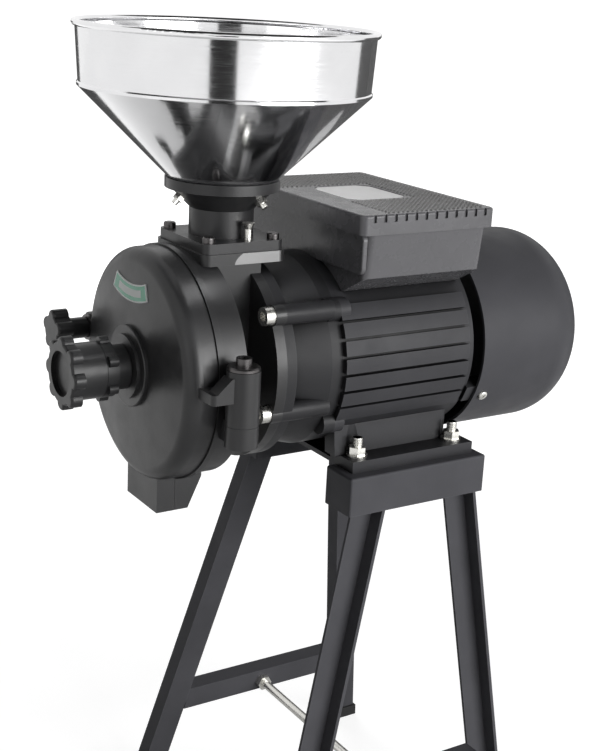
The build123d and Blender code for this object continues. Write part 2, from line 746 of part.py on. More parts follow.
def fan_cowl():
    """Pressed cowl over the fan, rounded at the back, with a ring of air slots."""
    outer = bar_x(COWL_RADIUS, COWL_X, COWL_END_X)
    outer = fillet(outer.edges().sort_by(Axis.X)[-1], COWL_ROUND)
    inner = bar_x(COWL_RADIUS - COWL_WALL, COWL_X - COWL_WALL, COWL_END_X - COWL_WALL)
    inner = fillet(inner.edges().sort_by(Axis.X)[-1], COWL_ROUND - COWL_WALL)
    cowl = outer - inner
    half = COWL_SLOT_WIDTH / 2
    slot_outer = COWL_RADIUS - COWL_ROUND
    slot = block(COWL_END_X - 2 * COWL_WALL, COWL_END_X + 1, COWL_SLOT_INNER, slot_outer,
                 AXIS_Z - half, AXIS_Z + half)
    for i in range(COWL_SLOTS):
        cowl -= around_shaft(slot, i * 360 / COWL_SLOTS)
    x_hole = COWL_X + COWL_SCREW_SETBACK
    hole = bar_y(SCREW_RADIUS + HOLE_PLAY, -COWL_RADIUS - 1, -COWL_RADIUS + 2 * COWL_WALL, x_hole, AXIS_Z)
    for angle in cowl_pad_angles():
        cowl -= around_shaft(hole, angle)
    return cowl


def cowl_screws():
    """Pan-head screws that hold the cowl."""
    x = COWL_X + COWL_SCREW_SETBACK
    head = bar_y(SCREW_HEAD_RADIUS, -COWL_RADIUS - SCREW_HEAD_HEIGHT, -COWL_RADIUS, x, AXIS_Z)
    tip = -COWL_RADIUS + COWL_WALL + SCREW_REACH - 1
    screw = head + bar_y(SCREW_RADIUS, -COWL_RADIUS - 1, tip, x, AXIS_Z)
    return [around_shaft(screw, angle) for angle in cowl_pad_angles()]


def core_x():
    """Front face of the stator core, in the middle of the frame."""
    return FRAME_X + (FRAME_LENGTH - CORE_LENGTH) / 2


def stator_core():
    """Laminated stator ring."""
    return ring_x(CORE_RADIUS, CORE_BORE, core_x(), core_x() + CORE_LENGTH)


def stator_windings():
    """End windings at both faces of the core."""
    inner = CORE_BORE + WINDING_SETBACK
    front = ring_x(WINDING_RADIUS, inner, core_x() - WINDING_LENGTH, core_x())
    back_x = core_x() + CORE_LENGTH
    return [front, ring_x(WINDING_RADIUS, inner, back_x, back_x + WINDING_LENGTH)]


def rotor():
    """Squirrel-cage rotor on the shaft."""
    return ring_x(CORE_BORE - AIR_GAP, SHAFT_RADIUS + SEAT_PLAY, core_x(), core_x() + CORE_LENGTH)


def disc_front_x():
    """Front face of the rotating disc, behind the parting plane."""
    return PARTING_X + DISC_BEHIND


def driver_x():
    """Front face of the driver plate."""
    return disc_front_x() + RIDGE_HEIGHT + DISC_THICKNESS


def fan_x():
    """Front face of the cooling fan."""
    return COWL_X + FAN_SETBACK


def motor_shaft():
    """Stepped shaft from the fan to the grinding disc."""
    front = front_bearing_x()
    tip = driver_x() - DISC_NUT_HEIGHT
    auger_start = driver_x() + DRIVER_THICKNESS
    seal_x = MOTOR_FACE_X - SEAL_WALL
    front_end = front + FRONT_BEARING_WIDTH
    rear = rear_bearing_x() - BEARING_LIP
    fan_end = fan_x() + FAN_LENGTH
    return turned_x([(tip, 0), (tip, DISC_SEAT_RADIUS), (auger_start, DISC_SEAT_RADIUS),
                     (auger_start, AUGER_SEAT_RADIUS), (seal_x, AUGER_SEAT_RADIUS),
                     (seal_x, SEAL_SEAT_RADIUS), (front, SEAL_SEAT_RADIUS),
                     (front, FRONT_BEARING_BORE), (front_end, FRONT_BEARING_BORE),
                     (front_end, SHAFT_RADIUS), (rear, SHAFT_RADIUS), (rear, REAR_BEARING_BORE),
                     (fan_end, REAR_BEARING_BORE), (fan_end, 0)])


def bearing(x, bore, radius, width):
    """Deep-groove bearing with a shallow groove in each face between its rings."""
    rings = ring_x(radius, bore + RUN_FIT, x, x + width)
    middle = (bore + radius) / 2
    land = (radius - bore) / 6
    groove_depth = width / 8
    rings -= ring_x(middle + land, middle - land, x - 1, x + groove_depth)
    return rings - ring_x(middle + land, middle - land, x + width - groove_depth, x + width + 1)


def cooling_fan():
    """Radial fan on the rear end of the shaft."""
    x0 = fan_x()
    fan = bar_x(FAN_HUB_RADIUS, x0, x0 + FAN_LENGTH) + bar_x(FAN_RADIUS, x0, x0 + FAN_WALL)
    half = FAN_WALL / 2
    blade = block(x0, x0 + FAN_LENGTH, FAN_HUB_RADIUS - 1, FAN_RADIUS, AXIS_Z - half, AXIS_Z + half)
    for i in range(FAN_BLADES):
        fan += around_shaft(blade, i * 360 / FAN_BLADES)
    return fan - bar_x(REAR_BEARING_BORE + SEAT_PLAY, x0 - 1, x0 + FAN_LENGTH + 1)


# Terminal box

def terminal_box():
    """Box on top of the motor, drafted at its sides, with a saddle that sits on the frame."""
    x1 = BOX_X + BOX_LENGTH
    outline = [(BOX_TOP_HALF, BOX_TOP), (BOX_WAIST_HALF, BOX_WAIST), (BOX_FOOT_HALF, BOX_FOOT),
               (-BOX_FOOT_HALF, BOX_FOOT), (-BOX_WAIST_HALF, BOX_WAIST), (-BOX_TOP_HALF, BOX_TOP)]
    body = cross_profile(outline, BOX_X, x1)
    side_edges = body.edges().filter_by(Axis.X, reverse=True)
    body = fillet(side_edges.filter_by(lambda e: abs(e.tangent_at(0).Z) > 0.9), BOX_ROUND)
    wall = BOX_WALL
    inside = [(BOX_TOP_HALF - wall, BOX_TOP + 1), (BOX_WAIST_HALF - wall, BOX_WAIST + wall),
              (-BOX_WAIST_HALF + wall, BOX_WAIST + wall), (-BOX_TOP_HALF + wall, BOX_TOP + 1)]
    hollow = cross_profile(inside, BOX_X + wall, x1 - wall)
    hollow -= bar_x(FRAME_RADIUS + wall, BOX_X, x1)
    gland_hole = bar_y(GLAND_RADIUS + HOLE_PLAY, BOX_WAIST_HALF - 2 * wall, BOX_TOP_HALF + 1,
                       box_middle(), AXIS_Z + GLAND_Z)
    body -= hollow
    body -= bar_x(FRAME_RADIUS + SEAT_PLAY, BOX_X - 1, x1 + 1)
    return body - gland_hole


def lid_corners():
    """Lowest and highest x and the half width of the lid."""
    box_end = BOX_X + BOX_LENGTH
    return BOX_X - LID_FRONT_OVERHANG, box_end + LID_REAR_OVERHANG, BOX_TOP_HALF + LID_OVERHANG


def plate_sketch(margin):
    """Outline of the bare plate on the lid, with cut corners."""
    shape = Rectangle(PLATE_LENGTH + 2 * margin, PLATE_WIDTH + 2 * margin)
    return chamfer(shape.vertices(), PLATE_CORNER)


def box_middle():
    """Middle of the box along the shaft."""
    return BOX_X + BOX_LENGTH / 2


def terminal_lid():
    """Lid with a hollow underside, notched long edges and a recess for the plate."""
    x0, x1, half = lid_corners()
    z0 = AXIS_Z + BOX_TOP
    z1 = z0 + LID_HEIGHT
    lid = block(x0, x1, -half, half, z0, z1)
    lid = fillet(upright_edges(lid), BOX_ROUND)
    lid = fillet(lid.edges().group_by(Axis.Z)[-1], LID_ROUND)
    inner = BOX_TOP_HALF - LID_SEAT
    lid -= block(BOX_X + LID_SEAT, BOX_X + BOX_LENGTH - LID_SEAT, -inner, inner, z0 - 1, z1 - LID_WALL)
    pitch = (x1 - x0 - 2 * BOX_ROUND) / LID_NOTCHES
    for i in range(LID_NOTCHES):
        x = x0 + BOX_ROUND + pitch * (i + 0.5)
        notch = block(x - LID_NOTCH_WIDTH / 2, x + LID_NOTCH_WIDTH / 2, -half - 1,
                      -half + LID_NOTCH_DEPTH, z1 - LID_NOTCH_HEIGHT, z1 + 1)
        lid -= both_sides(notch)
    return lid - Pos(PLATE_X, 0, z1 - PLATE_RECESS) * extrude(plate_sketch(HOLE_PLAY), PLATE_RECESS + 1)


def lid_plate():
    """Bare plate in the lid's recess."""
    z = AXIS_Z + BOX_TOP + LID_HEIGHT - PLATE_RECESS
    return Pos(PLATE_X, 0, z) * extrude(plate_sketch(0), PLATE_THICKNESS)


def capacitors():
    """Start and run capacitors lying on the box floor beside the saddle."""
    x0 = box_middle() - CAPACITOR_LENGTH / 2
    z = BOX_WAIST + BOX_WALL + CAPACITOR_RADIUS + SEAT_PLAY
    return [bar_x(CAPACITOR_RADIUS, x0, x0 + CAPACITOR_LENGTH, s * CAPACITOR_Y, z) for s in (-1, 1)]


def terminal_block():
    """Connection block on the saddle in the middle of the box."""
    half_x = TERMINAL_LENGTH / 2
    half_y = TERMINAL_WIDTH / 2
    z = AXIS_Z + FRAME_RADIUS + BOX_WALL + SEAT_PLAY
    body = block(box_middle() - half_x, box_middle() + half_x, -half_y, half_y, z, z + TERMINAL_HEIGHT)
    for i in (-1, 0, 1):
        x = box_middle() + i * TERMINAL_LENGTH / 3
        pocket_y = half_y - TERMINAL_WALL
        body -= block(x - TERMINAL_POCKET_HALF, x + TERMINAL_POCKET_HALF, -pocket_y, pocket_y,
                      z + TERMINAL_HEIGHT / 2, z + TERMINAL_HEIGHT + 1)
    return body


def cable_gland():
    """Cable inlet on the far side of the box, with its hexagon nut and open bore."""
    x = box_middle()
    face = BOX_TOP_HALF + SEAT_PLAY
    place = Pos(x, face, AXIS_Z + GLAND_Z) * Rot(-90, 0, 0)
    gland = place * hexagon(GLAND_FLATS, GLAND_HEX)
    inner = BOX_WAIST_HALF - 2 * BOX_WALL
    gland += bar_y(GLAND_RADIUS, inner, face + GLAND_LENGTH, x, AXIS_Z + GLAND_Z)
    return gland - bar_y(GLAND_BORE, inner - 1, face + GLAND_LENGTH + 1, x, AXIS_Z + GLAND_Z)


# Grinding head

def hinge_x():
    """Place of the hinge pin along the shaft."""
    return PARTING_X + HINGE_BEHIND


def ear(x0, x1):
    """Clamp ear on the far side of the head."""
    inner = CHAMBER_BORE + 2
    plate = block(x0, x1, inner, CLAMP_Y, AXIS_Z + CLAMP_Z - EAR_HALF, AXIS_Z + CLAMP_Z + EAR_HALF)
    return plate + bar_x(EAR_HALF, x0, x1, CLAMP_Y, CLAMP_Z)


def grinding_chamber():
    """Chamber casting: open bowl, rear half of the spout, feed box, table, trough and motor flange."""
    flange_x = MOTOR_FACE_X - FLANGE_THICKNESS
    body = bar_x(CHAMBER_RADIUS, PARTING_X, CHAMBER_BACK_X)
    body += bar_x(LIP_RADIUS, PARTING_X, PARTING_X + LIP_LENGTH)
    heel_x = PARTING_X + SPOUT_HEEL
    knee_x = CHAMBER_BACK_X - 2
    spout = [(PARTING_X, 0), (CHAMBER_BACK_X, 0), (knee_x, SPOUT_KNEE), (heel_x, SPOUT_BOTTOM),
             (PARTING_X, SPOUT_BOTTOM)]
    body += side_profile(spout, SPOUT_HALF_WIDTH)
    body += bar_x(TROUGH_RADIUS, CHAMBER_BACK_X - 1, MOTOR_FACE_X)
    body += bar_x(FLANGE_RADIUS, flange_x, MOTOR_FACE_X)
    for y, z in lug_places():
        body += bar_x(LUG_RADIUS, flange_x, MOTOR_FACE_X, y, z)
    front = HOPPER_X - CHUTE_BORE - CHUTE_WALL
    table_bottom = TABLE_TOP - TABLE_THICKNESS
    body += block(front, MOTOR_FACE_X, -CHUTE_HALF_WIDTH, CHUTE_HALF_WIDTH, AXIS_Z, AXIS_Z + TABLE_TOP)
    table = block(HOPPER_X - TABLE_HALF_LENGTH, HOPPER_X + TABLE_HALF_LENGTH, -TABLE_HALF_WIDTH,
                  TABLE_HALF_WIDTH, AXIS_Z + table_bottom, AXIS_Z + TABLE_TOP)
    body += fillet(upright_edges(table), TABLE_ROUND)
    lower = AXIS_Z + HINGE_BOTTOM
    split = AXIS_Z + HINGE_SPLIT
    body += bar_z(HINGE_RADIUS, lower, split, hinge_x(), HINGE_Y)
    body += block(PARTING_X + LIP_LENGTH, hinge_x() + HINGE_RADIUS, HINGE_Y, -CHAMBER_BORE + 2, lower, split)
    body += ear(PARTING_X, PARTING_X + EAR_LENGTH)

    body -= bar_x(CHAMBER_BORE, PARTING_X - 1, CHAMBER_BACK_X - CHAMBER_FLOOR)
    body -= bar_x(TROUGH_BORE, PARTING_X, MOTOR_FACE_X - SEAL_WALL)
    chute_front = front + CHUTE_WALL
    chute_back = MOTOR_FACE_X - CHUTE_WALL
    seal_start = MOTOR_FACE_X - SEAL_WALL
    body -= side_profile([(chute_front, 0), (chute_front, TABLE_TOP + 1),
                          (HOPPER_X + CHUTE_BORE, TABLE_TOP + 1), (chute_back, table_bottom),
                          (seal_start, CHUTE_KNEE), (seal_start, 0)], CHUTE_BORE)
    floor_x = CHAMBER_BACK_X - CHAMBER_FLOOR
    body -= side_profile([(PARTING_X - 1, SPOUT_BOTTOM - 1), (heel_x - SPOUT_WALL, SPOUT_BOTTOM - 1),
                          (floor_x, SPOUT_KNEE), (floor_x, -TROUGH_RADIUS), (PARTING_X - 1, -TROUGH_RADIUS)],
                         SPOUT_HALF_WIDTH - SPOUT_WALL)
    body -= bar_x(SEAL_RADIUS + SEAT_PLAY, seal_start - 1, seal_start + SEAL_WIDTH)
    body -= bar_x(FRONT_BEARING_BORE + SHAFT_BORE_PLAY, seal_start, MOTOR_FACE_X + 1)
    for y, z in lug_places():
        body -= bar_x(BOLT_RADIUS + HOLE_PLAY, flange_x - 1, MOTOR_FACE_X + 1, y, z)
    for x, y in neck_hole_places():
        body -= bar_z(NECK_BOLT_RADIUS + HOLE_PLAY, AXIS_Z + TABLE_TOP - TABLE_THICKNESS - 1,
                      AXIS_Z + TABLE_TOP + 1, x, y)
    pin_hole = HINGE_PIN_RADIUS + RUN_FIT
    body -= bar_z(pin_hole, lower - 1, split + 1, hinge_x(), HINGE_Y)
    return body - bar_x(CLAMP_HOLE, PARTING_X - 1, PARTING_X + EAR_LENGTH + 1, CLAMP_Y, CLAMP_Z)


def shaft_seal():
    """Lip seal where the shaft enters the feed trough."""
    x = MOTOR_FACE_X - SEAL_WALL
    return ring_x(SEAL_RADIUS, SEAL_SEAT_RADIUS + RUN_FIT, x, x + SEAL_WIDTH)


def hinge_pin():
    """Hinge pin with a collar and a socket head above the cover's knuckle."""
    seat = AXIS_Z + HINGE_TOP + GAP
    collar = bar_z(HINGE_COLLAR_RADIUS, seat, seat + HINGE_COLLAR_HEIGHT, hinge_x(), HINGE_Y)
    collar = chamfer(collar.edges().group_by(Axis.Z)[-1], HINGE_COLLAR_HEIGHT / 3)
    top = seat + HINGE_COLLAR_HEIGHT + HINGE_HEAD_HEIGHT
    pin = bar_z(HINGE_PIN_RADIUS, AXIS_Z + HINGE_BOTTOM, seat + 1, hinge_x(), HINGE_Y)
    head = bar_z(HINGE_HEAD_RADIUS, seat + 1, top, hinge_x(), HINGE_Y)
    socket = hexagon(HINGE_HEAD_RADIUS, HINGE_HEAD_HEIGHT)
    return pin + collar + head - Pos(hinge_x(), HINGE_Y, top - HINGE_HEAD_HEIGHT / 2) * socket


def cover_shell(radius, shoulder, face_x, crown_x):
    """Domed disc from the cover's back face to its crown."""
    back = (COVER_BACK_X, radius)
    side = (face_x + shoulder, radius)
    rim = (face_x, radius - shoulder)
    middle = shoulder * (1 - sqrt(0.5))
    outline = Polyline((COVER_BACK_X, 0), back, side)
    outline += ThreePointArc(side, (face_x + middle, radius - middle), rim)
    sag = (crown_x - face_x) * 0.75 + face_x
    outline += ThreePointArc(rim, (sag, rim[1] / 2), (crown_x, 0))
    outline += Line((crown_x, 0), (COVER_BACK_X, 0))
    profile = Plane.XZ * Pos(0, AXIS_Z, 0) * make_face(outline)
    return revolve(profile, Axis((0, 0, AXIS_Z), (1, 0, 0)))


def boss_face_x():
    """Front face of the collar on the cover's boss."""
    return CROWN_X - BOSS_LENGTH - COLLAR_LENGTH


def guide_places():
    """Angles of the guide pins inside the cover."""
    return [i * 360 / GUIDES for i in range(GUIDES)]


def cover_inside_x():
    """Inner face of the cover."""
    return COVER_FACE_X + COVER_WALL


def front_cover():
    """Domed cover with the adjuster boss, the front half of the spout, the hinge arm and the clamp ear."""
    cover = cover_shell(COVER_RADIUS, COVER_SHOULDER, COVER_FACE_X, CROWN_X)
    boss_x = CROWN_X - BOSS_LENGTH
    boss = bar_x(BOSS_RADIUS, boss_x, COVER_FACE_X + 1)
    boss = fillet(boss.edges().group_by(Axis.X)[0], BOSS_LENGTH / 3)
    cover += boss
    cover += bar_x(COLLAR_RADIUS, boss_face_x(), boss_x + 1)
    spout_front = COVER_BACK_X - SPOUT_DEPTH
    cover += block(spout_front, COVER_BACK_X, -SPOUT_HALF_WIDTH, SPOUT_HALF_WIDTH,
                   AXIS_Z + SPOUT_BOTTOM, AXIS_Z - CHAMBER_BORE)
    arm_front = COVER_FACE_X + COVER_SHOULDER - ARM_SETBACK
    arm_y = HINGE_Y - HINGE_RADIUS / 2
    arm = block(arm_front, COVER_BACK_X, arm_y, -COVER_BORE - 2, AXIS_Z + ARM_BOTTOM, AXIS_Z + ARM_TOP)
    link = block(COVER_BACK_X - 1, hinge_x(), arm_y, HINGE_Y + HINGE_RADIUS / 2, AXIS_Z + ARM_BOTTOM,
                 AXIS_Z + ARM_TOP)
    cover += fillet(arm.edges().filter_by(Axis.Z).group_by(Axis.X)[0], ARM_SETBACK) + link
    cover += hinge_gusset(arm_y)
    knuckle_bottom = AXIS_Z + HINGE_SPLIT + GAP
    cover += bar_z(HINGE_RADIUS, knuckle_bottom, AXIS_Z + HINGE_TOP, hinge_x(), HINGE_Y)
    cover += ear(COVER_BACK_X - EAR_LENGTH, COVER_BACK_X)

    cover -= bar_x(COVER_BORE, cover_inside_x(), COVER_BACK_X + 1)
    cover -= block(spout_front + SPOUT_WALL, COVER_BACK_X + 1, -SPOUT_HALF_WIDTH + SPOUT_WALL,
                   SPOUT_HALF_WIDTH - SPOUT_WALL, AXIS_Z + SPOUT_BOTTOM - 1, AXIS_Z - CHAMBER_BORE / 2)
    cover -= bar_x(ADJUSTER_RADIUS + GAP, boss_face_x() - 1, COVER_BACK_X)
    cover -= ring_x(GASKET_OUTER + GAP, GASKET_INNER - GAP, COVER_BACK_X - GASKET_DEPTH, COVER_BACK_X + 1) \
        - block(COVER_BACK_X - 2 * GASKET_DEPTH, COVER_BACK_X + 2, -SPOUT_HALF_WIDTH - 1,
                SPOUT_HALF_WIDTH + 1, AXIS_Z - LIP_RADIUS, AXIS_Z)
    cover -= bar_z(HINGE_PIN_RADIUS + RUN_FIT, knuckle_bottom - 1, AXIS_Z + HINGE_TOP + 1, hinge_x(), HINGE_Y)
    ear_x = COVER_BACK_X - EAR_LENGTH
    cover -= bar_x(CLAMP_SCREW_RADIUS + GAP, ear_x - 1, COVER_BACK_X + 1, CLAMP_Y, CLAMP_Z)
    for angle in guide_places():
        hole = bar_x(GUIDE_RADIUS + SEAT_PLAY, cover_inside_x() - COVER_WALL / 2, COVER_BACK_X, 0, GUIDE_AT)
        cover -= around_shaft(hole, angle)
    return cover


def hinge_gusset(outer_y):
    """Triangular rib on the arm, against the cover's knuckle."""
    root = hinge_x() - HINGE_RADIUS / 2
    tip = hinge_x() - HINGE_RADIUS - GUSSET_LENGTH
    points = [(tip, ARM_TOP - 1), (root, ARM_TOP - 1), (root, ARM_TOP + GUSSET_HEIGHT),
              (hinge_x() - HINGE_RADIUS, ARM_TOP + GUSSET_HEIGHT), (tip, ARM_TOP)]
    outline = Plane.XZ.offset(-outer_y) * Pos(0, AXIS_Z, 0) * Polygon(*points, align=None)
    return extrude(outline, HINGE_RADIUS, dir=(0, 1, 0))


def cover_gasket():
    """Rubber seal in the cover's back face, open at the spout."""
    start = COVER_BACK_X - GASKET_DEPTH
    ring = ring_x(GASKET_OUTER, GASKET_INNER, start, COVER_BACK_X + GAP / 3)
    return ring - block(start - 1, COVER_BACK_X + 1, -SPOUT_HALF_WIDTH - 1 - GAP, SPOUT_HALF_WIDTH + 1 + GAP,
                        AXIS_Z - LIP_RADIUS, AXIS_Z)


def cover_badge():
    """Bare curved plate on the cover's face."""
    dome = cover_shell(COVER_RADIUS, COVER_SHOULDER, COVER_FACE_X, CROWN_X)
    layer = Pos(-BADGE_THICKNESS, 0, 0) * dome - dome
    x0 = CROWN_X - COVER_CROWN
    x1 = COVER_FACE_X + COVER_CROWN
    sector = Pos(0, BADGE_Y, BADGE_Z) * ring_x(BADGE_OUTER, BADGE_INNER, x0, x1)
    spread = BADGE_OUTER * tan(radians(BADGE_HALF_ANGLE))
    foot = BADGE_Z - BADGE_OUTER
    wedge = cross_profile([(BADGE_Y, BADGE_Z), (BADGE_Y - spread, foot), (BADGE_Y + spread, foot)], x0, x1)
    return layer & sector & wedge


def star(radius, lobes, lobe_radius, x0, x1):
    """Lobed grip along the shaft direction."""
    at = radius - lobe_radius
    grip = bar_x(at + lobe_radius / 3, x0, x1)
    for i in range(lobes):
        angle = radians(i * 360 / lobes)
        grip += bar_x(lobe_radius, x0, x1, at * sin(angle), at * cos(angle))
    return grip


def lock_ring_x():
    """Front face of the lock ring."""
    return boss_face_x() - GAP - LOCK_SLEEVE_LENGTH - LOCK_RING_LENGTH


def knob_hub_x():
    """Back face of the adjusting knob's hub."""
    return lock_ring_x() - GAP


def knob_front_x():
    """Front face of the adjusting knob."""
    return knob_hub_x() - KNOB_HUB_LENGTH - KNOB_LENGTH


def lock_ring():
    """Ring nut with lugs and a sleeve to the boss that locks the adjuster."""
    x0 = lock_ring_x()
    ring = bar_x(LOCK_RING_RADIUS, x0, x0 + LOCK_RING_LENGTH)
    for i in range(LOCK_LUGS):
        angle = radians(i * 360 / LOCK_LUGS)
        ring += bar_x(LOCK_LUG_RADIUS, x0 + 1, x0 + LOCK_RING_LENGTH - 1, LOCK_LUG_REACH * sin(angle),
                      LOCK_LUG_REACH * cos(angle))
    end = x0 + LOCK_RING_LENGTH + LOCK_SLEEVE_LENGTH
    ring += bar_x(LOCK_SLEEVE_RADIUS, x0, end)
    return ring - bar_x(ADJUSTER_RADIUS + RUN_FIT, x0 - 1, end + 1)


def adjusting_knob():
    """Star knob with a recessed face on a round hub."""
    x0 = knob_front_x()
    x1 = x0 + KNOB_LENGTH
    grip = star(KNOB_RADIUS, KNOB_LOBES, KNOB_LOBE_RADIUS, x0, x1)
    grip = fillet(grip.edges().group_by(Axis.X)[0], KNOB_LOBE_RADIUS / 3)
    grip -= bar_x(KNOB_RECESS_RADIUS, x0 - 1, x0 + KNOB_RECESS_DEPTH)
    hub = bar_x(KNOB_HUB_RADIUS, x1 - 1, knob_hub_x())
    return grip + hub - bar_x(ADJUSTER_RADIUS + SEAT_PLAY, x1, knob_hub_x() + 1)


def carrier_x():
    """Front face of the fixed disc's carrier."""
    return fixed_disc_x() - CARRIER_THICKNESS


def fixed_disc_x():
    """Front face of the fixed disc, with its ridge tops one disc gap ahead of the rotating disc."""
    return disc_front_x() - DISC_GAP - RIDGE_HEIGHT - DISC_THICKNESS


def adjusting_screw():
    """Screw through the cover's boss, with a pivot that turns in the carrier."""
    shoulder = carrier_x() - GAP
    screw = bar_x(ADJUSTER_RADIUS, knob_front_x() + KNOB_LENGTH, shoulder)
    return screw + bar_x(CARRIER_PIVOT - RUN_FIT, shoulder - 1, fixed_disc_x())


def disc_screw_angles():
    """Angles of the screws that hold a grinding disc, between the guides."""
    return [(i + 0.5) * 360 / DISC_SCREWS for i in range(DISC_SCREWS)]


def disc_carrier():
    """Plate that carries the fixed disc and slides on the guide pins."""
    x0 = carrier_x()
    plate = ring_x(CARRIER_RADIUS, CARRIER_PIVOT, x0, fixed_disc_x())
    for angle in guide_places():
        hole = bar_x(GUIDE_RADIUS + GAP, x0 - 1, fixed_disc_x() + 1, 0, GUIDE_AT)
        plate -= around_shaft(hole, angle)
    for angle in disc_screw_angles():
        hole = bar_x(SCREW_RADIUS + HOLE_PLAY, x0 - 1, fixed_disc_x() + 1, 0, DISC_SCREW_AT)
        plate -= around_shaft(hole, angle)
    return plate


def guide_pins():
    """Pins in the cover that keep the carrier from turning."""
    x0 = cover_inside_x() - COVER_WALL / 2
    pin = bar_x(GUIDE_RADIUS, x0, carrier_x() + GUIDE_ENTRY, 0, GUIDE_AT)
    return [around_shaft(pin, angle) for angle in guide_places()]


def grinding_disc(back_x, front_x, ridge_x):
    """Ring of hard iron with radial ridges on one face."""
    disc = ring_x(DISC_RADIUS, DISC_BORE, back_x, front_x)
    half = RIDGE_WIDTH / 2
    middle = (DISC_BORE + DISC_RADIUS) / 2
    ridge = block(ridge_x, ridge_x + RIDGE_HEIGHT, middle, DISC_RADIUS - 2, AXIS_Z - half, AXIS_Z + half)
    for i in range(RIDGES):
        disc += around_shaft(ridge, i * 360 / RIDGES)
    return disc


def fixed_disc():
    """Fixed grinding disc on the carrier."""
    x0 = fixed_disc_x()
    x1 = x0 + DISC_THICKNESS
    disc = grinding_disc(x0, x1, x1)
    for angle in disc_screw_angles():
        hole = bar_x(SCREW_RADIUS + SEAT_PLAY, x0 - 1, x0 + DISC_SCREW_REACH, 0, DISC_SCREW_AT)
        disc -= around_shaft(hole, angle)
    return disc


def rotating_disc():
    """Rotating grinding disc on the driver."""
    x0 = disc_front_x() + RIDGE_HEIGHT
    disc = grinding_disc(x0, driver_x(), x0 - RIDGE_HEIGHT)
    for angle in disc_screw_angles():
        hole_x = driver_x() - DISC_SCREW_REACH
        hole = bar_x(SCREW_RADIUS + SEAT_PLAY, hole_x, driver_x() + 1, 0, DISC_SCREW_AT)
        disc -= around_shaft(hole, angle)
    return disc


def disc_driver():
    """Plate on the shaft that drives the rotating disc, with windows for the grain."""
    x0 = driver_x()
    x1 = x0 + DRIVER_THICKNESS
    plate = ring_x(DRIVER_RADIUS, DISC_SEAT_RADIUS + SEAT_PLAY, x0, x1)
    for i in range(DRIVER_WINDOWS):
        window = bar_x(DRIVER_WINDOW, x0 - 1, x1 + 1, 0, DRIVER_WINDOW_AT)
        plate -= around_shaft(window, i * 360 / DRIVER_WINDOWS)
    for angle in disc_screw_angles():
        hole = bar_x(SCREW_RADIUS + HOLE_PLAY, x0 - 1, x1 + 1, 0, DISC_SCREW_AT)
        plate -= around_shaft(hole, angle)
    return plate


def disc_screws(seat_x, direction, reach):
    """Screws through a plate into its grinding disc, with low heads."""
    x_head = sorted((seat_x, seat_x - direction * DISC_SCREW_HEAD))
    x_shank = sorted((seat_x - direction * DISC_SCREW_HEAD / 2, seat_x + direction * reach))
    screw = bar_x(SCREW_HEAD_RADIUS, x_head[0], x_head[1], 0, DISC_SCREW_AT)
    screw += bar_x(SCREW_RADIUS, x_shank[0], x_shank[1], 0, DISC_SCREW_AT)
    return [around_shaft(screw, angle) for angle in disc_screw_angles()]


def fixed_disc_screws():
    """Screws that hold the fixed disc to its carrier."""
    return disc_screws(carrier_x(), 1, CARRIER_THICKNESS + DISC_SCREW_REACH - 1)


def rotating_disc_screws():
    """Screws that hold the rotating disc to the driver."""
    seat = driver_x() + DRIVER_THICKNESS
    return disc_screws(seat, -1, DRIVER_THICKNESS + DISC_SCREW_REACH - 1)


def disc_nut():
    """Nut on the end of the shaft that holds the driver."""
    x = driver_x() - DISC_NUT_HEIGHT
    nut = Pos(x, 0, AXIS_Z) * Rot(0, 90, 0) * hexagon(DISC_NUT_FLATS, DISC_NUT_HEIGHT)
    return nut - bar_x(DISC_SEAT_RADIUS + SEAT_PLAY, x - 1, driver_x() + 1)


def feed_auger():
    """Short screw that pushes the grain from the chute into the chamber."""
    x0 = driver_x() + DRIVER_THICKNESS + GAP
    length = AUGER_PITCH * AUGER_TURNS
    hub_end = MOTOR_FACE_X - SEAL_WALL - GAP
    hub = bar_x(AUGER_HUB, x0, hub_end)
    middle = (AUGER_HUB + AUGER_RADIUS) / 2
    start = Pos(x0 + AUGER_FLIGHT, 0, AXIS_Z) * Rot(0, 90, 0)
    path = start * Helix(AUGER_PITCH, length, middle)
    section = Plane(origin=path @ 0, x_dir=(0, 0, 1), z_dir=path % 0)
    depth = AUGER_RADIUS - AUGER_HUB + 2
    flight = sweep(section * Rectangle(depth, AUGER_FLIGHT), path, is_frenet=True)
    return hub + flight - bar_x(AUGER_SEAT_RADIUS + SEAT_PLAY, x0 - 1, hub_end + 1)


# Clamp

def clamp_seat_x():
    """Front face of the cover's clamp ear."""
    return COVER_BACK_X - EAR_LENGTH


def clamp_washer():
    """Washer under the clamp knob."""
    x1 = clamp_seat_x() - GAP
    washer = bar_x(CLAMP_WASHER_RADIUS, x1 - CLAMP_WASHER_LENGTH, x1, CLAMP_Y, CLAMP_Z)
    hole = bar_x(CLAMP_SCREW_RADIUS + RUN_FIT, x1 - CLAMP_WASHER_LENGTH - 1, x1 + 1, CLAMP_Y, CLAMP_Z)
    return washer - hole


def clamp_hub_x():
    """Back face of the clamp knob's hub."""
    return clamp_seat_x() - 2 * GAP - CLAMP_WASHER_LENGTH


def clamp_knob():
    """Small star knob on the far side."""
    x1 = clamp_hub_x()
    x0 = x1 - CLAMP_HUB_LENGTH
    lobe = CLAMP_KNOB_RADIUS / 3
    grip = star(CLAMP_KNOB_RADIUS, CLAMP_KNOB_LOBES, lobe, x0 - CLAMP_KNOB_LENGTH, x0)
    grip = Pos(0, CLAMP_Y, CLAMP_Z) * fillet(grip.edges().group_by(Axis.X)[0], lobe / 3)
    grip += bar_x(CLAMP_HUB_RADIUS, x0 - 1, x1, CLAMP_Y, CLAMP_Z)
    return grip - bar_x(CLAMP_SCREW_RADIUS + SEAT_PLAY, x0 - 1, x1 + 1, CLAMP_Y, CLAMP_Z)


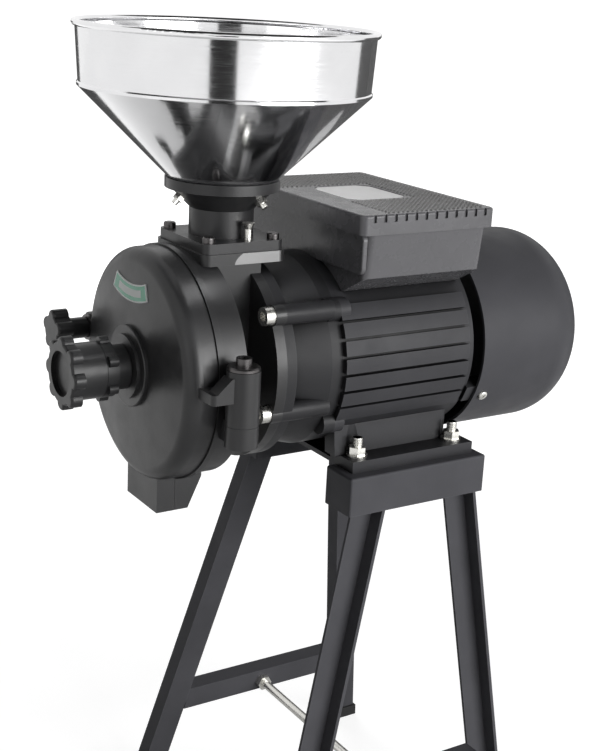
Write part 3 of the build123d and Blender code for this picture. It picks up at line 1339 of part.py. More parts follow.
def clamp_screw():
    """Screw of the clamp, held in the cover's ear, whose tip enters the chamber's ear."""
    x0 = clamp_hub_x() - CLAMP_HUB_LENGTH - 1
    return bar_x(CLAMP_SCREW_RADIUS, x0, PARTING_X + CLAMP_ENTRY, CLAMP_Y, CLAMP_Z)


# Feed neck and hopper

def neck_bolt_places():
    """Places of the four flange bolts."""
    return [(HOPPER_X + i * NECK_BOLT_X, j * NECK_BOLT_Y) for i in (-1, 1) for j in (-1, 1)]


def neck_hole_places():
    """Places of all screws in the flange: its bolts and the set screw on the near edge."""
    return neck_bolt_places() + [(HOPPER_X + SET_SCREW_X, -NECK_BOLT_Y)]


def hopper_slope():
    """Growth of the cone's radius with height."""
    rise = HOPPER_TOP - HOPPER_BAND - HOPPER_MOUTH
    return (HOPPER_BAND_RADIUS - HOPPER_MOUTH_RADIUS) / rise


def hopper_radius(height):
    """Outer radius of the hopper's cone at a height above the shaft."""
    return HOPPER_MOUTH_RADIUS + hopper_slope() * (height - HOPPER_MOUTH)


def hopper_screw_places():
    """Frames that point down and outward through the seat at each hopper screw."""
    frames = []
    radius = hopper_radius(HOPPER_SCREW_AT)
    for angle in HOPPER_SCREW_ANGLES:
        along = Vector(cos(radians(angle)), sin(radians(angle)), 0)
        outward = along - Vector(0, 0, hopper_slope())
        place = Vector(HOPPER_X, 0, AXIS_Z + HOPPER_SCREW_AT) + along * radius
        frames.append(Plane(origin=place, z_dir=outward))
    return frames


def feed_neck():
    """Neck with a square flange below and a flared seat for the hopper above."""
    base = TABLE_TOP + SEAT_PLAY
    flange = block(HOPPER_X - NECK_FLANGE_HALF_X, HOPPER_X + NECK_FLANGE_HALF_X, -NECK_FLANGE_HALF_Y,
                   NECK_FLANGE_HALF_Y, AXIS_Z + base, AXIS_Z + base + NECK_FLANGE)
    flange = fillet(upright_edges(flange), NECK_FLANGE_ROUND)
    slope = hopper_slope()
    wall = SEAT_WALL * hypot(1, slope)
    play = HOLE_PLAY * hypot(1, slope)
    lip_z = SEAT_TOP - SEAT_LIP
    neck_top = HOPPER_MOUTH + (NECK_RADIUS - HOPPER_MOUTH_RADIUS - play - wall) / slope
    flare = [(NECK_BORE, base), (NECK_RADIUS, base), (NECK_RADIUS, neck_top),
             (hopper_radius(lip_z) + play + wall, lip_z), (SEAT_RADIUS, lip_z), (SEAT_RADIUS, SEAT_TOP),
             (hopper_radius(SEAT_TOP) + play, SEAT_TOP), (hopper_radius(HOPPER_MOUTH) + play, HOPPER_MOUTH),
             (NECK_BORE, HOPPER_MOUTH - HOLE_PLAY)]
    neck = flange + turned_z(flare)
    neck -= bar_z(NECK_BORE, AXIS_Z, AXIS_Z + HOPPER_MOUTH, HOPPER_X, 0)
    for x, y in neck_hole_places():
        neck -= bar_z(NECK_BOLT_RADIUS + HOLE_PLAY, AXIS_Z, AXIS_Z + base + NECK_FLANGE + 1, x, y)
    for frame in hopper_screw_places():
        neck -= frame * Cylinder(HOPPER_SCREW_RADIUS + HOLE_PLAY, 4 * HOPPER_SCREW_REACH)
    return neck


def neck_bolts():
    """Button-head screws in the flange corners."""
    top = AXIS_Z + TABLE_TOP + SEAT_PLAY + NECK_FLANGE
    shank = bar_z(NECK_BOLT_RADIUS, AXIS_Z + TABLE_TOP - TABLE_THICKNESS, top + 1, 0, 0)
    cap = bar_z(NECK_BOLT_HEAD, top, top + NECK_BOLT_HEAD_HEIGHT, 0, 0)
    cap = fillet(cap.edges().group_by(Axis.Z)[-1], NECK_BOLT_HEAD_HEIGHT / 3)
    return [Pos(x, y, 0) * (shank + cap) for x, y in neck_bolt_places()]


def neck_set_screw():
    """Screw that stands up from the flange's near edge, with a flared head."""
    top = AXIS_Z + TABLE_TOP + SEAT_PLAY + NECK_FLANGE + SET_SCREW_HEIGHT
    x, y = neck_hole_places()[-1]
    screw = bar_z(NECK_BOLT_RADIUS, AXIS_Z + TABLE_TOP - TABLE_THICKNESS, top, x, y)
    flare = Cone(NECK_BOLT_RADIUS, NECK_BOLT_HEAD, NECK_BOLT_HEAD_HEIGHT)
    return screw + Pos(x, y, top - NECK_BOLT_HEAD_HEIGHT / 2) * flare


def hopper():
    """Spun steel hopper: cone, upright band with a bead below and a rolled rim."""
    band_bottom = HOPPER_TOP - HOPPER_BAND
    sheet = HOPPER_SHEET
    inner_mouth = HOPPER_MOUTH_RADIUS - sheet * hypot(1, hopper_slope())
    bead_radius = HOPPER_BAND_RADIUS + HOPPER_BEAD
    roll_z = HOPPER_TOP - HOPPER_ROLL
    shell = turned_z([(HOPPER_MOUTH_RADIUS, HOPPER_MOUTH), (HOPPER_BAND_RADIUS, band_bottom),
                      (bead_radius, band_bottom + HOPPER_BEAD), (bead_radius, band_bottom + 3 * HOPPER_BEAD),
                      (HOPPER_BAND_RADIUS, band_bottom + 4 * HOPPER_BEAD), (HOPPER_RADIUS, roll_z),
                      (HOPPER_RADIUS - sheet, roll_z), (HOPPER_BAND_RADIUS - sheet, band_bottom + sheet),
                      (inner_mouth, HOPPER_MOUTH)])
    roll_at = Plane.XZ * Pos(HOPPER_X + HOPPER_RADIUS, AXIS_Z + roll_z, 0)
    rim = revolve(roll_at * Circle(HOPPER_ROLL), Axis((HOPPER_X, 0, 0), (0, 0, 1)))
    shell += rim
    for frame in hopper_screw_places():
        shell -= frame * Cylinder(HOPPER_SCREW_RADIUS + HOLE_PLAY, 4 * HOPPER_SCREW_REACH)
    return shell


def hopper_screws():
    """Screws through the hopper and its seat, with a nut outside."""
    on_end = (Align.CENTER, Align.CENTER, Align.MIN)
    seat = -HOPPER_SHEET - GAP
    shank = HOPPER_SCREW_REACH - seat + HOPPER_SCREW_HEAD / 2
    screw = Pos(0, 0, seat - HOPPER_SCREW_HEAD) * Cylinder(SCREW_HEAD_RADIUS, HOPPER_SCREW_HEAD, align=on_end)
    screw += Pos(0, 0, seat - HOPPER_SCREW_HEAD / 2) * Cylinder(HOPPER_SCREW_RADIUS, shank, align=on_end)
    screw += Pos(0, 0, HOLE_PLAY + SEAT_WALL + SEAT_PLAY) * hexagon(HOPPER_NUT_FLATS, HOPPER_NUT_HEIGHT)
    return [frame * screw for frame in hopper_screw_places()]


NODES = {
    "rail_near": lambda: rail(-1),
    "rail_far": lambda: rail(1),
    "leg_front_near": lambda: leg(-1, -1),
    "leg_front_far": lambda: leg(-1, 1),
    "leg_rear_near": lambda: leg(1, -1),
    "leg_rear_far": lambda: leg(1, 1),
    "leg_shoes": lambda: [leg_shoe(end, side) for end in (-1, 1) for side in (-1, 1)],
    "brace_near": lambda: brace(-1),
    "brace_far": lambda: brace(1),
    "tie_rod": tie_rod,
    "tie_nuts": tie_nuts,
    "foot_bolts": foot_bolts,
    "foot_washers": foot_washers,
    "foot_nuts": foot_nuts,
    "motor_foot": motor_foot,
    "motor_frame": motor_frame,
    "front_end_bell": front_end_bell,
    "rear_end_bell": rear_end_bell,
    "motor_bolts": motor_bolts,
    "fan_cowl": fan_cowl,
    "cowl_screws": cowl_screws,
    "stator_core": stator_core,
    "stator_windings": stator_windings,
    "rotor": rotor,
    "motor_shaft": motor_shaft,
    "front_bearing": lambda: bearing(front_bearing_x(), FRONT_BEARING_BORE, FRONT_BEARING_RADIUS,
                                     FRONT_BEARING_WIDTH),
    "rear_bearing": lambda: bearing(rear_bearing_x(), REAR_BEARING_BORE, REAR_BEARING_RADIUS,
                                    REAR_BEARING_WIDTH),
    "cooling_fan": cooling_fan,
    "terminal_box": terminal_box,
    "terminal_lid": terminal_lid,
    "lid_plate": lid_plate,
    "capacitors": capacitors,
    "terminal_block": terminal_block,
    "cable_gland": cable_gland,
    "grinding_chamber": grinding_chamber,
    "shaft_seal": shaft_seal,
    "hinge_pin": hinge_pin,
    "front_cover": front_cover,
    "cover_gasket": cover_gasket,
    "cover_badge": cover_badge,
    "guide_pins": guide_pins,
    "adjusting_screw": adjusting_screw,
    "adjusting_knob": adjusting_knob,
    "lock_ring": lock_ring,
    "disc_carrier": disc_carrier,
    "fixed_disc": fixed_disc,
    "fixed_disc_screws": fixed_disc_screws,
    "rotating_disc": rotating_disc,
    "rotating_disc_screws": rotating_disc_screws,
    "disc_driver": disc_driver,
    "disc_nut": disc_nut,
    "feed_auger": feed_auger,
    "clamp_washer": clamp_washer,
    "clamp_knob": clamp_knob,
    "clamp_screw": clamp_screw,
    "feed_neck": feed_neck,
    "neck_bolts": neck_bolts,
    "neck_set_screw": neck_set_screw,
    "hopper": hopper,
    "hopper_screws": hopper_screws,
}


def main():
    """Build every node and write it to its own file."""
    os.makedirs("parts", exist_ok=True)
    for name, make in NODES.items():
        shape = make()
        if isinstance(shape, list):
            shape = Compound(children=[solid for item in shape for solid in item.solids()])
        export_step(shape, f"parts/{name}.step")


main()
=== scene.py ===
import json
from math import cos, pi, radians, sin

import bmesh
import bpy
from mathutils import Matrix, Vector


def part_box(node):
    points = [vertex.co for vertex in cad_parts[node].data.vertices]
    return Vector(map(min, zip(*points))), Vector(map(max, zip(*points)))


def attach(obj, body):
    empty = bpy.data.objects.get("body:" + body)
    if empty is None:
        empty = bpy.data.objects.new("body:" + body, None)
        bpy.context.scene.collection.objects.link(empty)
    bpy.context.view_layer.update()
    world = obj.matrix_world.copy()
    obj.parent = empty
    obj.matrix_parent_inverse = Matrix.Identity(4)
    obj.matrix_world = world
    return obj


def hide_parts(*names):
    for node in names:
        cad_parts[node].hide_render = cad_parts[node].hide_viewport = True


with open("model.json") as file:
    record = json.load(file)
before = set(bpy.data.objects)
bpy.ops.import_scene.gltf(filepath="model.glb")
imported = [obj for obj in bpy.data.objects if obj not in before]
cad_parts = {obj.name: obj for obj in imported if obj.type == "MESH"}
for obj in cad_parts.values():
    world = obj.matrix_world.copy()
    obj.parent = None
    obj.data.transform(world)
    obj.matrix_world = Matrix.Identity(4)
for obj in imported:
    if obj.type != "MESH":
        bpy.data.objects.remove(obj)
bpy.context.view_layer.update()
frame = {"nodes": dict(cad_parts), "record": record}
nodes = frame["nodes"]
scene = bpy.context.scene

# Camera fitted to the photograph, with its width, focal length and axis offset in pixels
WIDTH = 601
FOCAL_PX = 1372.7
AXIS_OFFSET = (11.06, 7.33)
SENSOR_MM = 36.0
AZIMUTH, ELEVATION, ROLL = radians(-33.55), radians(16.56), radians(3.06)
DISTANCE = 1.1889
TARGET = Vector((-0.00755, 0.0, 0.4372))

# Height of the shaft, in metres like all lengths below
AXIS_Z = 0.46


# Shader nodes

def add(tree, kind, **inputs):
    """New shader node with some of its inputs set."""
    node = tree.nodes.new(kind)
    for name, value in inputs.items():
        node.inputs[name.replace("_", " ")].default_value = value
    return node


def calc(tree, operation, first, second=0.0):
    """Math node on two sockets or numbers."""
    node = tree.nodes.new("ShaderNodeMath")
    node.operation = operation
    for socket, value in zip(node.inputs, (first, second)):
        if isinstance(value, (int, float)):
            socket.default_value = value
        else:
            tree.links.new(value, socket)
    return node.outputs[0]


def product(tree, first, *others):
    """Product of sockets and numbers."""
    for other in others:
        first = calc(tree, "MULTIPLY", first, other)
    return first


def place(tree, scale=(1, 1, 1)):
    """Object coordinates in metres, stretched by scale."""
    coords = tree.nodes.new("ShaderNodeTexCoord")
    mapping = add(tree, "ShaderNodeMapping", Scale=scale)
    tree.links.new(coords.outputs["Object"], mapping.inputs["Vector"])
    return mapping.outputs["Vector"]


def axes(tree):
    """Object coordinates in metres, as three sockets."""
    split = tree.nodes.new("ShaderNodeSeparateXYZ")
    tree.links.new(place(tree), split.inputs["Vector"])
    return split.outputs["X"], split.outputs["Y"], split.outputs["Z"]


def noise(tree, scale, detail=3.0, stretch=(1, 1, 1)):
    """Noise over the object, with scale in waves per metre."""
    node = add(tree, "ShaderNodeTexNoise", Scale=scale, Detail=detail, Roughness=0.55)
    tree.links.new(place(tree, stretch), node.inputs["Vector"])
    return node.outputs["Fac"]


def spread(tree, value, low, high, from_low=0.3, from_high=0.7):
    """Value rescaled to run from low to high. By default it is taken for a noise."""
    node = add(tree, "ShaderNodeMapRange", From_Min=from_low, From_Max=from_high,
               To_Min=low, To_Max=high)
    tree.links.new(value, node.inputs["Value"])
    return node.outputs["Result"]


def blend(tree, factor, first, second):
    """Colour between first and second."""
    node = tree.nodes.new("ShaderNodeMix")
    node.data_type = "RGBA"
    tree.links.new(factor, node.inputs["Factor"])
    for name, value in (("A", first), ("B", second)):
        socket = [s for s in node.inputs if s.name == name and s.type == "RGBA"][0]
        if isinstance(value, tuple):
            socket.default_value = (*value, 1.0)
        else:
            tree.links.new(value, socket)
    return [s for s in node.outputs if s.type == "RGBA"][0]


def tint(colour, factor, lift=0.0):
    """Colour made darker or lighter, at most white."""
    return tuple(min(1.0, c * factor + lift) for c in colour)


def edge_mask(tree, radius):
    """Near 1 along sharp edges and 0 on flat faces."""
    soft = add(tree, "ShaderNodeBevel", Radius=radius)
    soft.samples = 4
    geometry = tree.nodes.new("ShaderNodeNewGeometry")
    dot = tree.nodes.new("ShaderNodeVectorMath")
    dot.operation = "DOT_PRODUCT"
    tree.links.new(soft.outputs["Normal"], dot.inputs[0])
    tree.links.new(geometry.outputs["Normal"], dot.inputs[1])
    return spread(tree, dot.outputs["Value"], 1.0, 0.0, from_low=0.82, from_high=0.995)


def painted_shade_mask(tree, reach):
    """1 on open faces and 0 deep in recesses, for painted shade in recesses."""
    node = add(tree, "ShaderNodeAmbientOcclusion", Distance=reach)
    node.samples = 8
    return spread(tree, node.outputs["AO"], 0.0, 1.0, from_low=0.3, from_high=0.85)


def start(name, **sockets):
    """New material with constants on its shader."""
    material = bpy.data.materials.new(name)
    material.use_nodes = True
    tree = material.node_tree
    bsdf = tree.nodes["Principled BSDF"]
    for key, value in sockets.items():
        bsdf.inputs[key.replace("_", " ")].default_value = value
    return material, tree, bsdf


def feed(tree, bsdf, **sockets):
    """Links from sockets to the shader's inputs."""
    for key, source in sockets.items():
        tree.links.new(source, bsdf.inputs[key.replace("_", " ")])


def sheen(tree, source, rough, below=0.05, above=0.06):
    """Roughness that follows a noise a little."""
    return spread(tree, source, rough - below, rough + above)


def bumps(tree, bsdf, height, strength, depth):
    """Bump on the shader from a height."""
    node = add(tree, "ShaderNodeBump", Strength=strength, Distance=depth)
    tree.links.new(height, node.inputs["Height"])
    feed(tree, bsdf, Normal=node.outputs["Normal"])


# Materials, with the grain in waves per metre and its depth in metres

def machined(tree):
    """1 on the bare edge of the feed table, on its near side, and 0 elsewhere."""
    table, middle, half = AXIS_Z + 0.085, 0.0045, 0.0044
    left_end, rounding, near_side = -0.112, 90.0, -0.0413
    x, y, z = axes(tree)
    height = calc(tree, "SUBTRACT", z, table)
    level = calc(tree, "COMPARE", height, middle)
    level.node.inputs[2].default_value = half
    rounded = product(tree, height, height, rounding)
    along = calc(tree, "GREATER_THAN", calc(tree, "SUBTRACT", x, rounded), left_end)
    near = calc(tree, "LESS_THAN", y, near_side)
    return product(tree, level, along, near)


def paint(name, colour, rough, grain, depth, wear=0.25, coat=0.0, gloss=0.2, ledge=False,
          recess=0.0):
    """Black enamel, mottled, with orange peel and paler edges.

    With ledge, the edge of the feed table is bare metal. With recess, faces that have
    others within that reach get painted shade: their colour is darker where shade falls.
    """
    material, tree, bsdf = start(name, Coat_Weight=coat, Coat_Roughness=0.15,
                                 Specular_IOR_Level=gloss)
    mottling = noise(tree, scale=22.0, detail=4.0)
    tone = blend(tree, mottling, tint(colour, 0.8), tint(colour, 1.25))
    worn = product(tree, edge_mask(tree, radius=0.0012), noise(tree, scale=90.0), wear * 2)
    tone = blend(tree, worn, tone, tint(colour, 2.2, lift=0.02))
    # Painted shade: colour darkened in recesses and between parts, where shade falls.
    if recess:
        tone = blend(tree, painted_shade_mask(tree, recess), tint(colour, 0.15), tone)
    if ledge:
        bare = machined(tree)
        tone = blend(tree, bare, tone, (0.16, 0.16, 0.16))
        feed(tree, bsdf, Metallic=bare)
    varied = sheen(tree, noise(tree, scale=45.0), rough, below=0.06, above=0.07)
    feed(tree, bsdf, Base_Color=tone, Roughness=varied)
    bumps(tree, bsdf, noise(tree, grain, detail=2.0), strength=0.35, depth=depth)
    return material


def metal(name, colour, rough, grain, depth, stretch=(1, 1, 1), metallic=1.0):
    """Bare metal with small stains and a grain that stretch turns into lines."""
    material, tree, bsdf = start(name, Metallic=metallic)
    tone = blend(tree, noise(tree, scale=30.0, detail=4.0), tint(colour, 0.86), colour)
    lines = noise(tree, grain, detail=2.0, stretch=stretch)
    feed(tree, bsdf, Base_Color=tone, Roughness=sheen(tree, lines, rough))
    bumps(tree, bsdf, lines, strength=0.2, depth=depth)
    return material


def plastic(name, colour, rough, grain, depth, gloss=0.3):
    """Moulded plastic with a fine texture."""
    material, tree, bsdf = start(name, Specular_IOR_Level=gloss)
    mottling = noise(tree, scale=30.0, detail=4.0)
    tone = blend(tree, mottling, tint(colour, 0.85), tint(colour, 1.12))
    varied = sheen(tree, noise(tree, scale=70.0), rough)
    feed(tree, bsdf, Base_Color=tone, Roughness=varied)
    bumps(tree, bsdf, noise(tree, grain, detail=2.0), strength=0.3, depth=depth)
    return material


def badge_paint(name):
    """Green enamel plate with a pale border and a bare pale panel."""
    centre_y, centre_z, mid_radius = 0.005, AXIS_Z + 0.142, 0.083
    border_from, border_angle = 0.0058, 0.333
    panel_half, panel_angle = 0.0028, 0.24
    material, tree, bsdf = start(name, Coat_Weight=0.4, Coat_Roughness=0.2)
    y, z = axes(tree)[1:]
    across = calc(tree, "SUBTRACT", y, centre_y)
    down = calc(tree, "SUBTRACT", centre_z, z)
    square = calc(tree, "ADD", product(tree, across, across), product(tree, down, down))
    radius = calc(tree, "SQRT", square)
    angle = calc(tree, "ABSOLUTE", calc(tree, "ARCTAN2", across, down))
    from_middle = calc(tree, "ABSOLUTE", calc(tree, "SUBTRACT", radius, mid_radius))
    border = calc(tree, "MAXIMUM", calc(tree, "GREATER_THAN", from_middle, border_from),
                  calc(tree, "GREATER_THAN", angle, border_angle))
    panel = product(tree, calc(tree, "LESS_THAN", from_middle, panel_half),
                    calc(tree, "LESS_THAN", angle, panel_angle))
    tone = blend(tree, noise(tree, scale=300.0), (0.05, 0.42, 0.24), (0.08, 0.5, 0.3))
    tone = blend(tree, panel, tone, (0.72, 0.78, 0.75))
    tone = blend(tree, border, tone, (0.86, 0.9, 0.88))
    varied = spread(tree, noise(tree, scale=120.0), low=0.32, high=0.45)
    feed(tree, bsdf, Base_Color=tone, Roughness=varied)
    return material


PAINTS = {
    "black_casting": dict(colour=(0.024, 0.024, 0.025), rough=0.34, grain=900.0, depth=0.00012,
                          coat=0.04, gloss=0.34, ledge=True),
    # The motor paint and the bell's paint darken in recesses and between parts: painted shade.
    "motor_paint": dict(colour=(0.044, 0.044, 0.048), rough=0.42, grain=1100.0, depth=0.00015,
                        gloss=0.16, recess=0.06),
    # Darker copy of the motor paint for the front end bell: painted shade.
    "bell_paint": dict(colour=(0.028, 0.028, 0.03), rough=0.4, grain=1000.0, depth=0.00012,
                       gloss=0.16, recess=0.06),
    "cowl_paint": dict(colour=(0.058, 0.058, 0.064), rough=0.44, grain=1600.0, depth=0.00005,
                       gloss=0.14),
    "stand_paint": dict(colour=(0.072, 0.072, 0.079), rough=0.5, grain=1500.0, depth=0.0001,
                        wear=0.3, gloss=0.1),
}
METALS = {
    "hopper_steel": dict(colour=(0.88, 0.88, 0.89), rough=0.11, grain=40.0, depth=0.000002,
                         stretch=(1, 1, 60)),
    "zinc": dict(colour=(0.78, 0.77, 0.73), rough=0.28, grain=500.0, depth=0.00008),
    "dark_steel": dict(colour=(0.1, 0.095, 0.095), rough=0.32, grain=500.0, depth=0.00006),
    "bright_steel": dict(colour=(0.66, 0.66, 0.67), rough=0.24, grain=60.0, depth=0.00003,
                         stretch=(30, 1, 1)),
    "grinding_iron": dict(colour=(0.32, 0.31, 0.3), rough=0.45, grain=260.0, depth=0.0002),
    "core_steel": dict(colour=(0.42, 0.42, 0.43), rough=0.4, grain=60.0, depth=0.0001,
                       stretch=(60, 1, 1)),
    "winding_copper": dict(colour=(0.62, 0.27, 0.13), rough=0.35, grain=420.0, depth=0.0004),
    "plate_metal": dict(colour=(0.95, 0.945, 0.945), rough=0.5, grain=60.0, depth=0.00003,
                        stretch=(1, 40, 1), metallic=0.3),
}
PLASTICS = {
    "box_plastic": dict(colour=(0.112, 0.111, 0.118), rough=0.26, grain=1500.0, depth=0.000015,
                        gloss=0.36),
    # Lighter, glossier copy of the box plastic for the lid's diamonds: painted highlight on the
    # lid's top.
    "knurl_plastic": dict(colour=(0.2, 0.197, 0.197), rough=0.3, grain=1500.0, depth=0.00002,
                          gloss=0.5),
    "knob_plastic": dict(colour=(0.022, 0.022, 0.023), rough=0.34, grain=700.0, depth=0.00005),
    "rubber": dict(colour=(0.028, 0.028, 0.028), rough=0.75, grain=900.0, depth=0.0002),
    "inner_plastic": dict(colour=(0.035, 0.035, 0.036), rough=0.5, grain=900.0, depth=0.0001),
    "capacitor_plastic": dict(colour=(0.72, 0.72, 0.7), rough=0.4, grain=900.0, depth=0.0001),
}
MATERIALS = {"badge_paint": badge_paint("badge_paint")}
for make, looks in ((paint, PAINTS), (metal, METALS), (plastic, PLASTICS)):
    for name, look in looks.items():
        MATERIALS[name] = make(name, **look)

# Nodes that look different from the rest of their slot. The front end bell gets a darker copy of
# the motor paint: painted shade.
OWN_LOOK = {"clamp_washer": "dark_steel", "clamp_screw": "dark_steel",
            "front_end_bell": "bell_paint"}
for part in frame["record"]["subparts"]:
    surface = nodes[part["node"]].data.materials
    surface.clear()
    surface.append(MATERIALS[OWN_LOOK.get(part["node"], part["material_slot"])])


# Rounded edges. The hopper's sheet has a rolled rim of its own.
EDGE_ROUND, STAND_ROUND = 0.0004, 0.0006
STAND_WORDS = ("leg", "brace", "rail")


def soften(node, width, segments=2, angle=35.0):
    """Small rounds along a CAD node's sharp edges."""
    bevel = nodes[node].modifiers.new("edges", "BEVEL")
    bevel.width = width
    bevel.segments = segments
    bevel.limit_method = "ANGLE"
    bevel.angle_limit = radians(angle)
    bevel.harden_normals = False
    bevel.use_clamp_overlap = True


for node in nodes:
    if node != "hopper":
        in_stand = any(word in node for word in STAND_WORDS)
        soften(node, STAND_ROUND if in_stand else EDGE_ROUND)


# Pieces with finer detail than the solids

def skin(shape, rings, closed_below=True):
    """Quads between rings of vertices, with a cap at the last ring and, if asked, the first."""
    for first, second in zip(rings, rings[1:]):
        for j in range(len(first)):
            k = (j + 1) % len(first)
            shape.faces.new((first[j], first[k], second[k], second[j]))
    if closed_below:
        shape.faces.new(rings[0][::-1])
    shape.faces.new(rings[-1])


def circle(radius, count):
    """Points round the origin."""
    return [(radius * cos(2 * pi * j / count), radius * sin(2 * pi * j / count))
            for j in range(count)]


def loose(name, shape):
    """Plain object from a bmesh, which is freed."""
    mesh = bpy.data.meshes.new(name)
    shape.normal_update()
    shape.to_mesh(mesh)
    shape.free()
    thing = bpy.data.objects.new(name, mesh)
    scene.collection.objects.link(thing)
    return thing


def piece(name, shape, slot, body="base"):
    """Object from a bmesh, with its slot's material, that rides on a body."""
    thing = loose(name, shape)
    thing.data.materials.append(MATERIALS[slot])
    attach(thing, body)
    return thing


def lid_knurl(pitch=0.0046, border=0.007, margin=0.0045, sink=0.0002, rise=0.001,
              foot_share=0.46, tip_share=0.25):
    """Raised diamonds over the lid, clear of its border, the bare plate and the strip before it."""
    low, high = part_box("terminal_lid")
    plate_low, plate_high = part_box("lid_plate")
    reach = foot_share * pitch
    columns = int((high.x - low.x - 2 * border) / pitch)
    rows = int((high.y - low.y - 2 * border) / (pitch / 2))
    shape = bmesh.new()
    for row in range(rows + 1):
        y = (low.y + high.y) / 2 + (row - rows / 2) * pitch / 2
        for column in range(columns + row % 2):
            x = (low.x + high.x) / 2 + (column - (columns - 1 + row % 2) / 2) * pitch
            in_front = x < plate_high.x + margin and y < plate_high.y + margin
            if in_front and (x < plate_low.x - margin or y > plate_low.y - margin):
                continue
            rings = [[shape.verts.new((x + i * size, y + j * size, z))
                      for i, j in ((1, 0), (0, 1), (-1, 0), (0, -1))]
                     for size, z in ((reach, high.z - sink), (reach * tip_share, high.z + rise))]
            skin(shape, rings, closed_below=False)
    knurl = piece("lid_knurl", shape, "box_plastic")
    # The diamonds take the lighter copy of the box plastic: painted highlight.
    knurl.data.materials[0] = MATERIALS["knurl_plastic"]


def add_thread(shape, start_at, axis, length, radius=0.004, pitch=0.00125, depth=0.00045):
    """Helical ridge round a rod, from a point along an axis."""
    around, steps_per_turn, clear = 28, 10, 0.00004
    turned = Vector(axis).to_track_quat("Z", "Y").to_matrix()
    steps = int(length / pitch * steps_per_turn)
    rings = []
    for i in range(steps + 1):
        along = length * i / steps
        taper = min(1.0, (length - along) / pitch, along / pitch)
        ring = []
        for j, (x, y) in enumerate(circle(1.0, around)):
            phase = (along / pitch - j / around) % 1.0
            r = radius + clear + depth * taper * (1.0 - abs(2.0 * phase - 1.0))
            ring.append(shape.verts.new(Vector(start_at) + turned @ Vector((r * x, r * y, along))))
        rings.append(ring)
    skin(shape, rings)


def threads(inset=0.009):
    """Threads on the free ends of the foot bolts and of the tie rod.

    The foot bolts' axes are inset from the outer edges of their washers.
    """
    shape = bmesh.new()
    nut_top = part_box("foot_nuts")[1].z
    bolt_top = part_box("foot_bolts")[1].z
    washer_low, washer_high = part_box("foot_washers")
    for x in (washer_low.x + inset, washer_high.x - inset):
        for y in (washer_low.y + inset, washer_high.y - inset):
            add_thread(shape, (x, y, nut_top), (0, 0, 1), bolt_top - nut_top)
    rod_low, rod_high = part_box("tie_rod")
    tie_low, tie_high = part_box("tie_nuts")
    middle = (rod_low + rod_high) / 2
    for near, end, side in ((tie_high.y, rod_high.y, 1), (tie_low.y, rod_low.y, -1)):
        add_thread(shape, (middle.x, near, middle.z), (0, side, 0), abs(end - near))
    piece("bolt_threads", shape, "zinc")


def rounded_ring(shape, x, low, high, radius, count=6):
    """Vertices round a rectangle in the YZ plane with rounded corners."""
    (left, bottom), (right, top) = low, high
    centres = ((right - radius, top - radius), (left + radius, top - radius),
               (left + radius, bottom + radius), (right - radius, bottom + radius))
    ring = []
    for quarter, (y, z) in enumerate(centres):
        for i in range(count + 1):
            angle = (quarter + i / count) * pi / 2
            ring.append(shape.verts.new((x, y + radius * cos(angle), z + radius * sin(angle))))
    return ring


def box_end_panel(corner=0.0057, top_gap=0.0006, bottom_gap=0.019, side_gap=0.0034):
    """Raised panel with rounded edges on the front end of the terminal box."""
    low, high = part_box("terminal_box")
    top, bottom = high.z - top_gap, low.z + bottom_gap
    half = (high.y - low.y) / 2 - side_gap
    # Each ring's place along X and how far it lies inside the first one
    steps = ((0.0003, 0.0), (-0.0026, 0.0002), (-0.0032, 0.0005), (-0.0035, 0.0012))
    shape = bmesh.new()
    rings = [rounded_ring(shape, low.x + x, (-half + inset, bottom + inset),
                          (half - inset, top - inset), corner) for x, inset in steps]
    skin(shape, rings)
    bmesh.ops.recalc_face_normals(shape, faces=shape.faces)
    piece("box_end_panel", shape, "box_plastic")


def cut(thing, cutter):
    """Cuts one closed mesh out of another and drops the cutter."""
    modifier = thing.modifiers.new("cut", "BOOLEAN")
    modifier.operation = "DIFFERENCE"
    modifier.solver = "EXACT"
    modifier.object = cutter
    bpy.context.view_layer.update()
    evaluated = thing.evaluated_get(bpy.context.evaluated_depsgraph_get())
    result = bpy.data.meshes.new_from_object(evaluated)
    thing.modifiers.clear()
    thing.data = result
    bpy.data.objects.remove(cutter)


def screw_head(around=32):
    """Pan head with a cross recess, with its seat at z = 0, as a mesh."""
    profile = ((0.0045, -0.0002), (0.0045, 0.0012), (0.00435, 0.0019), (0.0039, 0.0024),
               (0.0031, 0.00275), (0.0018, 0.00295))
    shape = bmesh.new()
    skin(shape, [[shape.verts.new((x, y, z)) for x, y in circle(radius, around)]
                 for radius, z in profile])
    head = loose("screw_head", shape)
    arm, half = 0.0024, 0.0005
    outline = ((arm, half), (half, half), (half, arm), (-half, arm), (-half, half), (-arm, half),
               (-arm, -half), (-half, -half), (-half, -arm), (half, -arm), (half, -half),
               (arm, -half))
    # Floor of the recess, narrower, and its mouth above the head
    levels = ((0.6, 0.001), (1.0, 0.004))
    cross = bmesh.new()
    skin(cross, [[cross.verts.new((x * size, y * size, z)) for x, y in outline]
                 for size, z in levels])
    cut(head, loose("screw_cross", cross))
    mesh = head.data
    bpy.data.objects.remove(head)
    return mesh


def cowl_screw_heads(angles=(207.0, 333.0, 90.0), twist=0.7):
    """Cross-recessed pan heads over the cowl's screws, each turned differently."""
    head = screw_head()
    low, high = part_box("cowl_screws")
    x = (low.x + high.x) / 2
    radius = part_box("fan_cowl")[1].y
    shape = bmesh.new()
    for angle in angles:
        out = Vector((0.0, cos(radians(angle)), sin(radians(angle))))
        turned = out.to_track_quat("Z", "X").to_matrix().to_4x4()
        spot = Matrix.Translation(Vector((x, 0.0, AXIS_Z)) + radius * out)
        copy = head.copy()
        copy.transform(spot @ turned @ Matrix.Rotation(radians(angle * twist), 4, "Z"))
        shape.from_mesh(copy)
        bpy.data.meshes.remove(copy)
    heads = piece("cowl_screw_heads", shape, "zinc")
    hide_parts("cowl_screws")


lid_knurl()
threads()
box_end_panel()
cowl_screw_heads()

